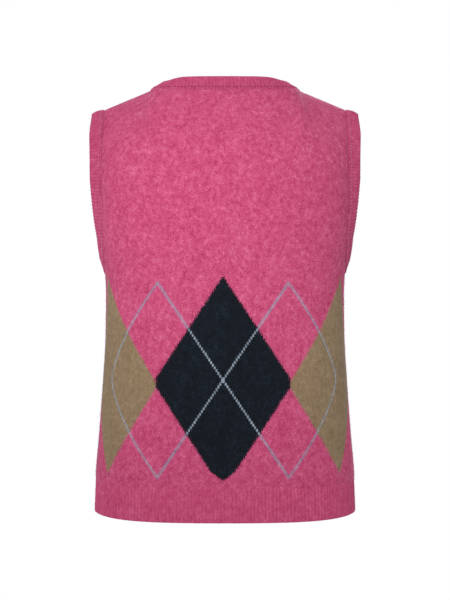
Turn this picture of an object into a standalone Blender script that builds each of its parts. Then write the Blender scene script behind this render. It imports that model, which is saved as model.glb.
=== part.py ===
"""Sleeveless argyle cardigan in brushed wool, worn shape with nobody in it.

Metres, +Z up. The origin lies midway between the two high shoulder points, where
the neck meets the shoulder seams. The wearer faces -Y, and the wearer's left is +X.

Every cloth piece is a wall between an outer face and an inner face. The outer faces
lie on one shape, worked out from level sections of the torso, the armhole's line and
a rounded shoulder. Bands start from the panels' own edge points, so the seams meet.
"""
import math

import bmesh
import bpy
import numpy as np
from mathutils import Matrix, Vector

# Cloth
CLOTH = 0.0024              # thickness of the knitted wall
GAP = 0.0003                # clearance at every seam
RIB_PITCH = 0.0046          # one knit and one purl wale of the 1x1 ribs
RIB_RISE = 0.0010           # top of a knit wale above the purl wale beside it

# Levels
UNDERARM = -0.244
V_BREAK = -0.225            # where the V neck starts to open
WELT = -0.512               # seam between the panels and the hem ribs
HEM = -0.555
SIDE_LIFT = 0.0040          # how much higher the hem lies at the side seams
LIFT_FROM = -0.400          # the lift grows from this level down to the welt
LIFT_ROUND = 6              # exponent: how near the side seams it lies

# Neck and shoulders
NECK_HALF = 0.098           # half the width between the high shoulder points
NECK_BACK = 0.064           # how far behind the shoulder line the back neck lies
NECK_DROP = 0.007           # how far the back neck dips at its centre
NECK_ROUND = 2.6            # exponent of the back neck's curve
RIDGE_Y = -0.003            # the shoulder seams' place, front to back
SHOULDER_SLOPE = math.radians(22.5)
V_CURVE = 1.15              # above 1, the V neck's edge is a little hollow

# Bands
BAND = 0.0195               # seam to free edge
FLARE = 0.30                # how far the neck band leans out, for each unit of its width
ARMHOLE_FLARE = {           # the same for the armhole bands, by height
    -0.244: 0.30, -0.200: 0.24, -0.160: 0.32, -0.120: 0.50, -0.060: 0.50, -0.030: 0.32}
LAP = CLOTH + RIB_RISE      # the right front band lies this far outside the left one
LAP_ENDS = (-0.185, -0.060)  # the bands' lean changes from lapped to flared between these

# Buttons
BUTTON_RADIUS = 0.0066
BUTTON_THICK = 0.0026
BUTTON_RIM = 0.0012         # width of the raised rim
BUTTON_DISH = 0.0007        # depth of the dish inside the rim
BUTTON_FILLET = 0.0004
HOLE_RADIUS = 0.00085
HOLE_SPREAD = 0.0015        # from the button's centre to each hole, along both ways
BUTTON_LEVELS = (-0.236, -0.311, -0.386, -0.461, -0.536)

# Level sections of the torso, side seam at y = 0. A section is half a superellipse
# behind that line and half of another one in front of it; reach is its half width, and
# round its exponent, from 2 for an ellipse to more for a boxier form.
# Above the underarm the armhole cuts each half section short of its reach.
TORSO_COLUMNS = ("height", "back_reach", "front_reach", "back_depth", "front_depth", "back_round")
TORSO = (
    (-0.555, 0.1708, 0.1708, 0.1080, 0.1120, 2.55),
    (-0.510, 0.1690, 0.1690, 0.1060, 0.1125, 2.60),
    (-0.440, 0.1641, 0.1641, 0.1020, 0.1140, 2.65),
    (-0.380, 0.1599, 0.1599, 0.0990, 0.1180, 2.70),
    (-0.320, 0.1566, 0.1566, 0.0975, 0.1240, 2.70),
    (-0.270, 0.1560, 0.1560, 0.0985, 0.1280, 2.70),
    (-0.244, 0.1570, 0.1562, 0.1000, 0.1290, 2.70),
    (-0.230, 0.1588, 0.1560, 0.1012, 0.1275, 2.70),
    (-0.200, 0.1635, 0.1553, 0.1035, 0.1225, 2.70),
    (-0.160, 0.1678, 0.1556, 0.1045, 0.1140, 2.70),
    (-0.120, 0.1688, 0.1585, 0.1030, 0.1020, 2.70),
    (-0.080, 0.1697, 0.1660, 0.0985, 0.0875, 2.70),
    (-0.050, 0.1708, 0.1760, 0.0945, 0.0770, 2.70),
    (-0.027, 0.1720, 0.1895, 0.0912, 0.0675, 2.70),
    (0.000, 0.1730, 0.1930, 0.0880, 0.0560, 2.70),
)
ROUND_FRONT = 2.3           # exponent of the front half sections

# The armhole seam
SHOULDER_HALF = 0.1587      # half the width between the outer ends of the shoulder seams
ARMHOLE_BACK = 0.050        # from the side line to the armhole seam, behind
ARMHOLE_FRONT = 0.042       # and in front
ARMHOLE_BOTTOM = 0.080      # height over which the armhole's floor rounds up
ARMHOLE_ROUND = 2.2

# The shoulder rolls over the ridge: its depth fades in below the ridge.
ROLL_BACK = 0.100           # height over which the back reaches its full depth
ROLL_FRONT = 0.070
ROLL_SHOULDER = 0.62        # exponent of the roll: below 1, the ridge is round
ROLL_NECK = 0.90            # at the centre of the back neck, nearly straight

# Grid rows of the panels, from the shoulders down.
LEVELS = (0.0, -0.0015, -0.005, -0.011, -0.020, -0.033, -0.050, -0.070, -0.095, -0.120,
          -0.145, -0.170, -0.192, -0.210, -0.225, -0.236, -0.242, UNDERARM, -0.270,
          -0.305, -0.345, -0.385, -0.430, -0.475, WELT + GAP / 2)
HALF_BACK_CELLS = 12        # columns of half the back
NECK_CELLS = 8              # of these, the ones along the back neck
FRONT_CELLS = 10
FINE = 400                  # samples along a row before its columns are spaced
NEARBY = (-0.03, -0.02, -0.01, 0, 0.01, 0.02, 0.03)  # rows whose mean length spaces a row
OUTER_SHIFT = 4             # exponent: how far out a row's difference from that mean lies

COLLECTION = "argyle_cardigan"
PINK = (0.62, 0.085, 0.205, 1.0)
PINK_RIB = (0.47, 0.055, 0.150, 1.0)
BUTTON_COLOUR = (0.33, 0.045, 0.105, 1.0)


# ---------------------------------------------------------------- numbers

def torso(name, height):
    """Smooth curve through one column of the torso, without overshoot (monotone cubic)."""
    data = np.array(TORSO)
    z = data[:, 0]
    v = data[:, TORSO_COLUMNS.index(name)]
    step = np.diff(z)
    slope = np.diff(v) / step
    tangent = np.concatenate([slope[:1], np.zeros(len(z) - 2), slope[-1:]])
    product = slope[:-1] * slope[1:]
    total = slope[:-1] + slope[1:]
    same_sign = product > 0
    tangent[1:-1][same_sign] = 2 * product[same_sign] / total[same_sign]
    cell = np.clip(np.searchsorted(z, height) - 1, 0, len(z) - 2)
    t = np.clip((height - z[cell]) / step[cell], 0, 1)
    start = (1 + 2 * t) * (1 - t) ** 2 * v[cell] + t * (1 - t) ** 2 * step[cell] * tangent[cell]
    end = t * t * (3 - 2 * t) * v[cell + 1] - t * t * (1 - t) * step[cell] * tangent[cell + 1]
    return start + end


def superellipse(share, exponent):
    """Height of a unit superellipse at a share of its half width."""
    return (1 - np.clip(np.abs(share), 0, 1) ** exponent) ** (1 / exponent)


def unit(vectors):
    """Vectors scaled to length 1."""
    return vectors / np.linalg.norm(vectors, axis=-1, keepdims=True)


def along(points):
    """Distance along a line of points."""
    steps = np.linalg.norm(np.diff(points, axis=0), axis=1)
    return np.concatenate([[0.0], np.cumsum(steps)])


def resample(values, distances, wanted):
    """Rows of values read at the wanted distances."""
    return np.stack([np.interp(wanted, distances, column) for column in values.T], axis=1)


# ---------------------------------------------------------------- the garment's shape

def top_height(side, x):
    """Height of the panel's top edge: the shoulder slope, and behind also the neck's dip."""
    shoulder = -np.maximum(x - NECK_HALF, 0) * math.tan(SHOULDER_SLOPE)
    if side < 0:
        return shoulder
    dip = 1 - np.clip(x / NECK_HALF, 0, 1) ** 3
    return shoulder - NECK_DROP * dip


def top_depth(side, x):
    """Y of the panel's top edge: the shoulder ridge, and behind also the neck's curve."""
    if side < 0:
        return np.full_like(x, RIDGE_Y)
    return RIDGE_Y + (NECK_BACK - RIDGE_Y) * superellipse(x / NECK_HALF, NECK_ROUND)


def row_height(side, x, level):
    """Height of a grid row at x: bent to the shoulder above the underarm, level below it.

    Near the hem the rows rise a little towards the side seams.
    """
    if level > UNDERARM:
        rise = (level - UNDERARM) / -UNDERARM
        return UNDERARM + (top_height(side, x) - UNDERARM) * rise
    lift = SIDE_LIFT * np.clip((LIFT_FROM - level) / (LIFT_FROM - WELT), 0, 1)
    return level + lift * (x / TORSO[0][1]) ** LIFT_ROUND


def section(side, z):
    """Reach, depth and exponent of the half section behind (+1) or in front (-1)."""
    if side > 0:
        return torso("back_reach", z), torso("back_depth", z), torso("back_round", z)
    return torso("front_reach", z), torso("front_depth", z), ROUND_FRONT


def armhole_x(side, z):
    """Distance of the armhole seam, or of the side seam below it, from the centre plane.

    The seam stands off the side line by a rounded floor that then runs straight up.
    """
    reach, depth, exponent = section(side, z)
    rise = np.clip((z - UNDERARM) / ARMHOLE_BOTTOM, 0, 1)
    full = ARMHOLE_BACK if side > 0 else ARMHOLE_FRONT
    stand_off = full * superellipse(1 - rise, ARMHOLE_ROUND)
    return reach * superellipse(stand_off / depth, exponent)


def skin_y(side, x, z):
    """Y of the garment's outer face at a distance x from the centre plane and a height z."""
    reach, depth, exponent = section(side, z)
    full = side * depth * superellipse(x / reach, exponent)
    below = (top_height(side, x) - z) / (ROLL_BACK if side > 0 else ROLL_FRONT)
    roll = np.sin(np.clip(below, 0, 1) * math.pi / 2)
    to_neck = 1 - np.clip(x / NECK_HALF, 0, 1) ** 4 if side > 0 else 0
    top = top_depth(side, x)
    return top + (full - top) * roll ** (ROLL_SHOULDER + (ROLL_NECK - ROLL_SHOULDER) * to_neck)


def row_end(side, level):
    """Where a grid row ends, at the armhole or side seam."""
    if level == 0:
        return SHOULDER_HALF
    x = np.array([SHOULDER_HALF])
    for _ in range(6):
        x = armhole_x(side, row_height(side, x, level))
    return x[0]


def front_edge(level):
    """Distance of a front's edge from the centre plane: straight, then out along the V."""
    share = max(level - V_BREAK, 0) / -V_BREAK
    return BAND / 2 + (NECK_HALF - BAND / 2) * share ** V_CURVE


def row_line(side, level, start):
    """Fine points of one grid row, from x = start to its end, and their distances."""
    ease = np.sin(np.linspace(0, math.pi / 2, FINE))
    x = start + (row_end(side, level) - start) * ease
    if side > 0 and level == 0:
        x = np.union1d(x, [NECK_HALF])
    z = row_height(side, x, level)
    points = np.stack([x, skin_y(side, x, z), z], axis=1)
    return points, along(points)


def row_points(side, level, start, columns):
    """Points of one grid row, from x = start to its end, at nearly even steps.

    Rows shorten suddenly at the underarm, so the inner columns follow the mean length of
    the rows nearby, and the outermost ones take up the difference.
    """
    points, distance = row_line(side, level, start)
    near = [row_line(side, min(level + step, 0), start)[1][-1] for step in NEARBY]
    share = np.linspace(0, 1, columns + 1)
    mean = np.mean(near)
    wanted = share * mean + share ** OUTER_SHIFT * (distance[-1] - mean)
    if side > 0 and level == 0:
        at_neck = np.interp(NECK_HALF, points[:, 0], distance)
        neck = np.linspace(0, at_neck, NECK_CELLS + 1)
        shoulder = np.linspace(at_neck, distance[-1], columns - NECK_CELLS + 1)
        wanted = np.concatenate([neck, shoulder[1:]])
    return resample(points, distance, wanted)


def normals_of(grid, side):
    """Outward unit normals of a grid of points, from its rows and columns."""
    down = np.gradient(grid, axis=0, edge_order=2)
    across = np.gradient(grid, axis=1, edge_order=2)
    normals = unit(np.cross(down, across))
    outward = np.sign(np.sum(normals[..., 1]) * side)
    return normals * outward


def seam_normals(grid, normals):
    """Give the shoulder ridge and the side seams the normals that both sides share."""
    shoulder = np.abs(grid[0, :, 0]) > NECK_HALF - GAP
    way = np.sign(grid[0, shoulder, 0])
    ridge = [way * math.sin(SHOULDER_SLOPE), 0 * way, 0 * way + math.cos(SHOULDER_SLOPE)]
    normals[0, shoulder] = np.stack(ridge, axis=1)
    below = LEVELS.index(UNDERARM)
    for column in (0, -1):
        way = np.sign(grid[below, column, 0])
        if abs(grid[below, column, 0]) > NECK_HALF:
            normals[below:, column] = (way, 0, 0)
    return normals


def back_grid():
    """Outer points and normals of the back, from the right side seam to the left one."""
    half = np.array([row_points(1, level, 0.0, HALF_BACK_CELLS) for level in LEVELS])
    mirrored = half[:, :0:-1] * (-1, 1, 1)
    grid = np.concatenate([mirrored, half], axis=1)
    normals = seam_normals(grid, normals_of(grid, 1))
    return grid + (0, GAP / 2, 0), normals


def front_grid(way):
    """Outer points and normals of one front, from its edge to the side seam.

    Below the V the edge faces straight forward, so that the two bands lie parallel.
    """
    rows = [row_points(-1, level, front_edge(level), FRONT_CELLS) for level in LEVELS]
    grid = np.array(rows) * (way, 1, 1)
    normals = seam_normals(grid, normals_of(grid, -1))
    below = LEVELS.index(V_BREAK)
    normals[below:, 0, 0] = 0
    normals[below:, 0] = unit(normals[below:, 0])
    return grid - (0, GAP / 2, 0), normals


# ---------------------------------------------------------------- meshes

def material(name, colour, roughness):
    """A plain Principled material."""
    result = bpy.data.materials.new(name)
    result.use_nodes = True
    shader = result.node_tree.nodes["Principled BSDF"]
    shader.inputs["Base Color"].default_value = colour
    shader.inputs["Roughness"].default_value = roughness
    shader.inputs["Metallic"].default_value = 0.0
    return result


def add_object(name, vertices, faces, colour, roughness=0.95):
    """A closed mesh object whose faces point out."""
    mesh = bpy.data.meshes.new(name)
    mesh.from_pydata([tuple(v) for v in vertices], [], faces)
    shape = bmesh.new()
    shape.from_mesh(mesh)
    bmesh.ops.recalc_face_normals(shape, faces=shape.faces)
    if shape.calc_volume(signed=True) < 0:
        bmesh.ops.reverse_faces(shape, faces=shape.faces)
    shape.to_mesh(mesh)
    shape.free()
    mesh.materials.append(material(name, colour, roughness))
    result = bpy.data.objects.new(name, mesh)
    bpy.data.collections[COLLECTION].objects.link(result)
    return result


def panel(name, grid, normals):
    """A wall of even thickness inside a grid of outer points.

    Each cell is split along its shorter diagonal, which lies closer to the round shape.
    """
    rows, columns = grid.shape[:2]
    inner = grid - normals * CLOTH
    vertices = np.concatenate([grid.reshape(-1, 3), inner.reshape(-1, 3)])
    back = rows * columns
    faces = []
    for r in range(rows - 1):
        for c in range(columns - 1):
            a = r * columns + c
            corners = [a, a + 1, a + columns + 1, a + columns]
            if math.dist(vertices[corners[0]], vertices[corners[2]]) > math.dist(
                    vertices[corners[1]], vertices[corners[3]]):
                corners = corners[1:] + corners[:1]
            for face in (corners[:3], corners[2:] + corners[:1]):
                faces.append(tuple(face))
                faces.append(tuple(corner + back for corner in reversed(face)))
    top = list(range(columns))
    right = [r * columns + columns - 1 for r in range(1, rows)]
    bottom = [(rows - 1) * columns + c for c in range(columns - 2, -1, -1)]
    left = [r * columns for r in range(rows - 2, 0, -1)]
    rim = top + right + bottom + left
    for a, b in zip(rim, rim[1:] + rim[:1]):
        faces.append((b, a, a + back, b + back))
    return add_object(name, vertices, faces, PINK)


def ribbed_wall(name, ribs, closed, sample):
    """A band with raised ribs outside and a plain inside.

    sample(shares) returns the band's seam points and their normals, and its free edge's
    points and their normals. The outer face has a peak and a valley for each rib, the
    inner face one cell, and each cap joins two outer cells to one inner cell.
    """
    outer_count = 2 * ribs if closed else 2 * ribs + 1
    inner_count = ribs if closed else ribs + 1
    outer_share = np.arange(outer_count) / (2 * ribs)
    inner_share = np.arange(inner_count) / ribs
    rise = np.where(np.arange(outer_count) % 2 == 1, 0.5, -0.5)[:, None] * RIB_RISE
    seam, seam_normal, free, free_normal = sample(outer_share)
    outer = [seam + rise * seam_normal, free + rise * free_normal]
    seam, seam_normal, free, free_normal = sample(inner_share)
    inner = [seam - CLOTH * seam_normal, free - CLOTH * free_normal]
    vertices = np.concatenate(outer + inner)

    def at(row, index):
        return row * outer_count + index % outer_count

    def under(row, index):
        return 2 * outer_count + row * inner_count + index % inner_count

    faces = []
    for k in range(2 * ribs):
        faces.append((at(0, k), at(0, k + 1), at(1, k + 1), at(1, k)))
    for k in range(ribs):
        faces.append((under(0, k + 1), under(0, k), under(1, k), under(1, k + 1)))
        for row in (0, 1):
            cap = [at(row, 2 * k + 2), at(row, 2 * k + 1), at(row, 2 * k)]
            faces.append(tuple(cap + [under(row, k), under(row, k + 1)]))
    if not closed:
        last = outer_count - 1
        faces.append((at(0, 0), at(1, 0), under(1, 0), under(0, 0)))
        faces.append((at(1, last), at(0, last), under(0, ribs), under(1, ribs)))
    return add_object(name, vertices, faces, PINK_RIB)


class Edge:
    """A panel's edge: its points, normals and the way out of the panel at each."""

    def __init__(self, points, normals, closed=False):
        if closed:
            points = np.concatenate([points, points[:1]])
            normals = np.concatenate([normals, normals[:1]])
        before = np.diff(points, axis=0)
        first = before[-1:] if closed else before[:1]
        last = before[:1] if closed else before[-1:]
        tangent = unit(unit(np.concatenate([first, before])) + unit(np.concatenate([before, last])))
        self.points = points
        self.normals = normals
        self.outward = unit(np.cross(tangent, normals))
        self.distance = along(points)
        self.length = self.distance[-1]

    def turn_outward(self, panel_point):
        """Make outward point away from the panel that holds this point."""
        away = self.points - panel_point
        if np.sum(self.outward * away) < 0:
            self.outward = -self.outward
        return self

    def at(self, shares):
        """Points, normals and outward directions at shares of the edge's length."""
        wanted = shares * self.length
        normals = unit(resample(self.normals, self.distance, wanted))
        outward = unit(resample(self.outward, self.distance, wanted))
        return resample(self.points, self.distance, wanted), normals, outward

    def band(self, name, width, flare, closed=False):
        """A ribbed band knitted on this edge; flare(points) is its lean at each point."""
        def sample(shares):
            points, normals, outward = self.at(shares)
            seam = points + outward * GAP
            lean = unit(outward + flare(points)[:, None] * normals)
            across = unit(normals - np.sum(normals * lean, axis=1)[:, None] * lean)
            return seam, normals, seam + lean * width, across

        ribs = round(self.length / RIB_PITCH)
        return ribbed_wall(name, ribs, closed, sample)


def neck_flare(points):
    """The same outward lean all along a band."""
    return np.full(len(points), FLARE)


def armhole_flare(points):
    """The armhole bands' lean: most beside the shoulder blade, less at both ends."""
    return np.interp(points[:, 2], list(ARMHOLE_FLARE), list(ARMHOLE_FLARE.values()))


def lapped_flare(way):
    """The front bands' lean: lapped on each other below the V's opening, flared above."""
    lapped = -way * LAP / BAND

    def flare(points):
        return np.interp(points[:, 2], LAP_ENDS, (lapped, FLARE))

    return flare


def hem_rib(name, side, start, way, grid, normals):
    """The ribbed hem under a panel, from the panel's last row down to the hem."""
    top = grid[-1] - (0, 0, GAP)
    columns = HALF_BACK_CELLS if side > 0 else FRONT_CELLS
    bottom = row_points(side, HEM, start, columns) * (way, 1, 1)
    if side > 0:
        bottom = np.concatenate([bottom[:0:-1] * (-1, 1, 1), bottom])
    bottom = bottom + (0, side * GAP / 2, 0)
    side_normals = normals[-1]
    shares = along(top) / along(top)[-1]

    def sample(wanted):
        normal = unit(resample(side_normals, shares, wanted))
        return resample(top, shares, wanted), normal, resample(bottom, shares, wanted), normal

    ribs = round(along(top)[-1] / RIB_PITCH)
    return ribbed_wall(name, ribs, False, sample)


def armhole_band(name, way, back, front):
    """The ribbed ring round one armhole, along the edges of the back and of one front."""
    floor = LEVELS.index(UNDERARM) + 1
    back_column = -1 if way > 0 else 0
    up = slice(floor - 1, None, -1)
    behind, behind_normals = back[0][:floor, back_column], back[1][:floor, back_column]
    ahead, ahead_normals = front[0][up, -1], front[1][up, -1]
    middle_top = (behind[:1] + ahead[-1:]) / 2
    middle_floor = (behind[-1:] + ahead[:1]) / 2
    points = np.concatenate([middle_top, behind[1:-1], middle_floor, ahead[1:-1]])
    normals = np.concatenate([behind_normals, ahead_normals[1:-1]])
    edge = Edge(points, normals, closed=True)
    edge.turn_outward(np.array([0, 0, UNDERARM * 2]))
    return edge.band(name, BAND, armhole_flare, closed=True)


def front_edge_line(way, front):
    """A front's whole edge, from the high shoulder point to the hem."""
    grid, normals = front
    foot = row_points(-1, HEM, front_edge(HEM), 1)[:1] * (way, 1, 1) - (0, GAP / 2, 0)
    points = np.concatenate([grid[:, 0], foot])
    line_normals = np.concatenate([normals[:, 0], normals[-1:, 0]])
    line_normals[0] = (way * math.sin(SHOULDER_SLOPE), 0, math.cos(SHOULDER_SLOPE))
    edge = Edge(points, line_normals).turn_outward(np.array([way, 0, HEM]))
    square_to_shoulder(edge, 0, way)
    return edge


def square_to_shoulder(edge, index, way):
    """Set an edge's end at the high shoulder point square to the shoulder seam."""
    edge.outward[index] = (-way * math.cos(SHOULDER_SLOPE), 0, math.sin(SHOULDER_SLOPE))


def neck_band(back):
    """The ribbed band round the back neck, between the two high shoulder points."""
    grid, normals = back
    first = HALF_BACK_CELLS - NECK_CELLS
    last = HALF_BACK_CELLS + NECK_CELLS + 1
    edge = Edge(grid[0, first:last], normals[0, first:last])
    edge.turn_outward(np.array([0, 0, HEM]))
    square_to_shoulder(edge, 0, -1)
    square_to_shoulder(edge, -1, 1)
    return edge.band("back_neck_band", BAND, neck_flare)


def button_mesh():
    """A turned button lying on z = 0: a flat back, a round edge, a rim and a dish."""
    fillet = BUTTON_FILLET
    top = BUTTON_THICK
    rim = BUTTON_RADIUS - BUTTON_RIM
    profile = [
        (0, top - BUTTON_DISH),
        (rim - fillet, top - BUTTON_DISH),
        (rim, top - fillet / 2),
        (rim + fillet, top),
        (BUTTON_RADIUS - fillet, top),
        (BUTTON_RADIUS, top - fillet),
        (BUTTON_RADIUS, fillet),
        (BUTTON_RADIUS - fillet, 0),
        (0, 0),
    ]
    mesh = bpy.data.meshes.new("button")
    edges = [(k, k + 1) for k in range(len(profile) - 1)]
    mesh.from_pydata([(x, 0, z) for x, z in profile], edges, [])
    return mesh


def add_button(name, edge, level):
    """A four-hole button on the middle of the right front band, at one level."""
    heights = edge.points[::-1, 2]
    share = np.interp(level, heights, edge.distance[::-1] / edge.length)
    point, normal, outward = (row[0] for row in edge.at(np.array([share])))
    lean = unit(outward + LAP / BAND * normal)
    away = unit(normal - np.dot(normal, lean) * lean)
    place = point + lean * (BAND / 2) + away * (RIB_RISE / 2 + GAP)
    frame = Matrix((Vector(lean), Vector(away).cross(Vector(lean)), Vector(away))).transposed()
    result = bpy.data.objects.new(name, button_mesh())
    result.matrix_world = Matrix.Translation(place) @ frame.to_4x4()
    result.data.materials.append(material(name, BUTTON_COLOUR, 0.4))
    bpy.data.collections[COLLECTION].objects.link(result)
    turn = result.modifiers.new("turn", "SCREW")
    turn.steps = 24
    turn.render_steps = 24
    turn.use_merge_vertices = True
    turn.merge_threshold = 0.00001
    turn.use_smooth_shade = False
    for x in (-HOLE_SPREAD, HOLE_SPREAD):
        for y in (-HOLE_SPREAD, HOLE_SPREAD):
            cut_hole(result, x, y)
    return result


def cut_hole(button, x, y):
    """A thread hole through a button."""
    shape = bmesh.new()
    bmesh.ops.create_cone(shape, cap_ends=True, segments=8, radius1=HOLE_RADIUS,
                          radius2=HOLE_RADIUS, depth=4 * BUTTON_THICK)
    mesh = bpy.data.meshes.new("hole")
    shape.to_mesh(mesh)
    shape.free()
    cutter = bpy.data.objects.new("hole", mesh)
    cutter.matrix_world = button.matrix_world @ Matrix.Translation((x, y, 0))
    cutter.hide_render = True
    cutter.display_type = "WIRE"
    bpy.data.collections["cutters"].objects.link(cutter)
    cut = button.modifiers.new("hole", "BOOLEAN")
    cut.operation = "DIFFERENCE"
    cut.object = cutter


# ---------------------------------------------------------------- the garment

def clear_scene():
    """Remove what the file opened with, and make the collections."""
    for item in list(bpy.data.objects):
        bpy.data.objects.remove(item, do_unlink=True)
    for name in (COLLECTION, "cutters"):
        bpy.context.scene.collection.children.link(bpy.data.collections.new(name))


def build():
    """All the pieces of the garment."""
    clear_scene()
    back = back_grid()
    panel("back_panel", *back)
    hem_rib("back_hem_rib", 1, 0.0, 1, *back)
    neck_band(back)
    for word, way in (("left", 1), ("right", -1)):
        front = front_grid(way)
        panel(f"{word}_front", *front)
        hem_rib(f"{word}_front_hem_rib", -1, front_edge(HEM), way, *front)
        armhole_band(f"{word}_armhole_band", way, back, front)
        edge = front_edge_line(way, front)
        edge.band(f"{word}_front_band", BAND - 2 * GAP, lapped_flare(way))
    for number, level in enumerate(BUTTON_LEVELS, start=1):
        add_button(f"button_{number}", edge, level)


build()
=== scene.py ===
# %% [markdown]
# # A sleeveless argyle cardigan in brushed wool
# The real garment is knitted flat in three panels, linked at the shoulders and sides, and
# finished with ribbed bands and five buttons. The CAD model of it is loaded first and never
# changes. Each piece below takes the place of one of its solids, in the same frame: metres,
# +Z up, the wearer facing -Y with the left side at +X, and the origin between the two high
# shoulder points.

# %% Load the frame
import math

import bpy
import numpy as np
from mathutils import Matrix, Vector


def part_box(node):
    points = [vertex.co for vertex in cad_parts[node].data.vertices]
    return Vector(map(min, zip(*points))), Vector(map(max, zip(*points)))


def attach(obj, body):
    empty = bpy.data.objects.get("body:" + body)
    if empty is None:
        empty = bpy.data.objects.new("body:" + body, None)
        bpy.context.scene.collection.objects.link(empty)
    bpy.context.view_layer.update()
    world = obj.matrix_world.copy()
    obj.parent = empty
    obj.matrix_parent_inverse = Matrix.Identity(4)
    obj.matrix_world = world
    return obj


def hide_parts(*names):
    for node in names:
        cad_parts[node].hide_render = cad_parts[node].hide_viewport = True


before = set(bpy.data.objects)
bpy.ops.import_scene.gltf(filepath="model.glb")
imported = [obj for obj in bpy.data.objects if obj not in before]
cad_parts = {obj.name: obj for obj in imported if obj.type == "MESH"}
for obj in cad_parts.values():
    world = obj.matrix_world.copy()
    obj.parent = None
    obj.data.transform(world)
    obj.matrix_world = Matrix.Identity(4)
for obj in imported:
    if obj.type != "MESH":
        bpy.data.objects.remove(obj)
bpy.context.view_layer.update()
print("CAD nodes:", len(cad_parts))

# %% [markdown]
# Two small functions are used all the way down. One links new data to the scene. The other
# eases a share at both ends, so that what it fades in and out has no edge.

# %% Helpers
def linked(name, data):
    """A new object with this mesh, camera or light, linked to the scene."""
    made = bpy.data.objects.new(name, data)
    bpy.context.scene.collection.objects.link(made)
    return made


def smooth_share(values):
    """A share held between 0 and 1 and eased at both ends."""
    t = np.clip(values, 0, 1)
    return t * t * (3 - 2 * t)


print("a quarter of the way, eased:", smooth_share(0.25))

# %% [markdown]
# ## Camera
# The photograph shows the back, taken level from about two metres away with a long lens. A
# camera behind the garment looks along -Y, so the wearer's left side is on the picture's left.
# Blender applies the sensor's width to the picture's longer side, here its height.

# %% Camera
CAMERA_DISTANCE = 2.0
CAMERA_HEIGHT = -0.276
FOCAL_LENGTH = 91.0
SENSOR_WIDTH = 36.0

camera_data = bpy.data.cameras.new("camera")
camera_data.lens = FOCAL_LENGTH
camera_data.sensor_width = SENSOR_WIDTH
camera = linked("camera", camera_data)
camera.location = (0.0, CAMERA_DISTANCE, CAMERA_HEIGHT)
camera.rotation_euler = (math.pi / 2, 0.0, math.pi)
bpy.context.scene.camera = camera
view_height = CAMERA_DISTANCE * SENSOR_WIDTH / FOCAL_LENGTH
print(f"the picture is {view_height:.3f} m high at the shoulder line")

# %% [markdown]
# ## The garment's form
# A worn knit with nobody in it keeps the round form of the torso. It could be sculpted or
# simulated on a body, but it has a simple rule: every level section is half a superellipse
# behind the side seams and half of another one in front, and the sizes of these two change
# smoothly with height. The table gives them, and a monotone cubic curve joins its rows.

# %% Torso sections
TORSO_COLUMNS = ("height", "back_reach", "front_reach", "back_depth", "front_depth", "back_round")
TORSO = np.array((
    (-0.555, 0.1708, 0.1708, 0.1080, 0.1120, 2.55),
    (-0.510, 0.1690, 0.1690, 0.1060, 0.1125, 2.60),
    (-0.440, 0.1641, 0.1641, 0.1020, 0.1140, 2.65),
    (-0.380, 0.1599, 0.1599, 0.0990, 0.1180, 2.70),
    (-0.320, 0.1566, 0.1566, 0.0975, 0.1240, 2.70),
    (-0.270, 0.1560, 0.1560, 0.0985, 0.1280, 2.70),
    (-0.244, 0.1570, 0.1562, 0.1000, 0.1290, 2.70),
    (-0.230, 0.1588, 0.1560, 0.1012, 0.1275, 2.70),
    (-0.200, 0.1635, 0.1553, 0.1035, 0.1225, 2.70),
    (-0.160, 0.1678, 0.1556, 0.1045, 0.1140, 2.70),
    (-0.120, 0.1688, 0.1585, 0.1030, 0.1020, 2.70),
    (-0.080, 0.1697, 0.1660, 0.0985, 0.0875, 2.70),
    (-0.050, 0.1708, 0.1760, 0.0945, 0.0770, 2.70),
    (-0.027, 0.1720, 0.1895, 0.0912, 0.0675, 2.70),
    (0.000, 0.1730, 0.1930, 0.0880, 0.0560, 2.70),
))
ROUND_FRONT = 2.3


def torso(name, height):
    """One column of the table at any height: a cubic in each cell whose slope at each row is
    the harmonic mean of the slopes beside it, or zero where those have opposite signs."""
    z = TORSO[:, 0]
    v = TORSO[:, TORSO_COLUMNS.index(name)]
    step = np.diff(z)
    slope = np.diff(v) / step
    product = slope[:-1] * slope[1:]
    total = np.where(product > 0, slope[:-1] + slope[1:], 1)
    inner = np.where(product > 0, 2 * product / total, 0)
    tangent = np.concatenate([slope[:1], inner, slope[-1:]])
    cell = np.clip(np.searchsorted(z, height) - 1, 0, len(z) - 2)
    t = np.clip((height - z[cell]) / step[cell], 0, 1)
    start = (1 + 2 * t) * (1 - t) ** 2 * v[cell] + t * (1 - t) ** 2 * step[cell] * tangent[cell]
    end = t * t * (3 - 2 * t) * v[cell + 1] - t * t * (1 - t) * step[cell] * tangent[cell + 1]
    return start + end


def superellipse(share, exponent):
    """Height of a unit superellipse: (1 - share ** n) ** (1 / n)."""
    return (1 - np.clip(np.abs(share), 0, 1) ** exponent) ** (1 / exponent)


def section(side, z):
    """Reach, depth and exponent of the half section behind (side 1) or in front (side -1)."""
    if side > 0:
        return torso("back_reach", z), torso("back_depth", z), torso("back_round", z)
    return torso("front_reach", z), torso("front_depth", z), ROUND_FRONT


print("width at the hem:", round(2 * float(torso("back_reach", -0.555)), 4))

# %% [markdown]
# The shoulders roll over a sloping ridge, and the back neck is a shallow curve behind it. So
# the depth of each section fades in below the ridge as a power of a sine: a power below 1
# gives a round shoulder, and nearly 1 gives the straighter fall below the back neck.

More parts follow.
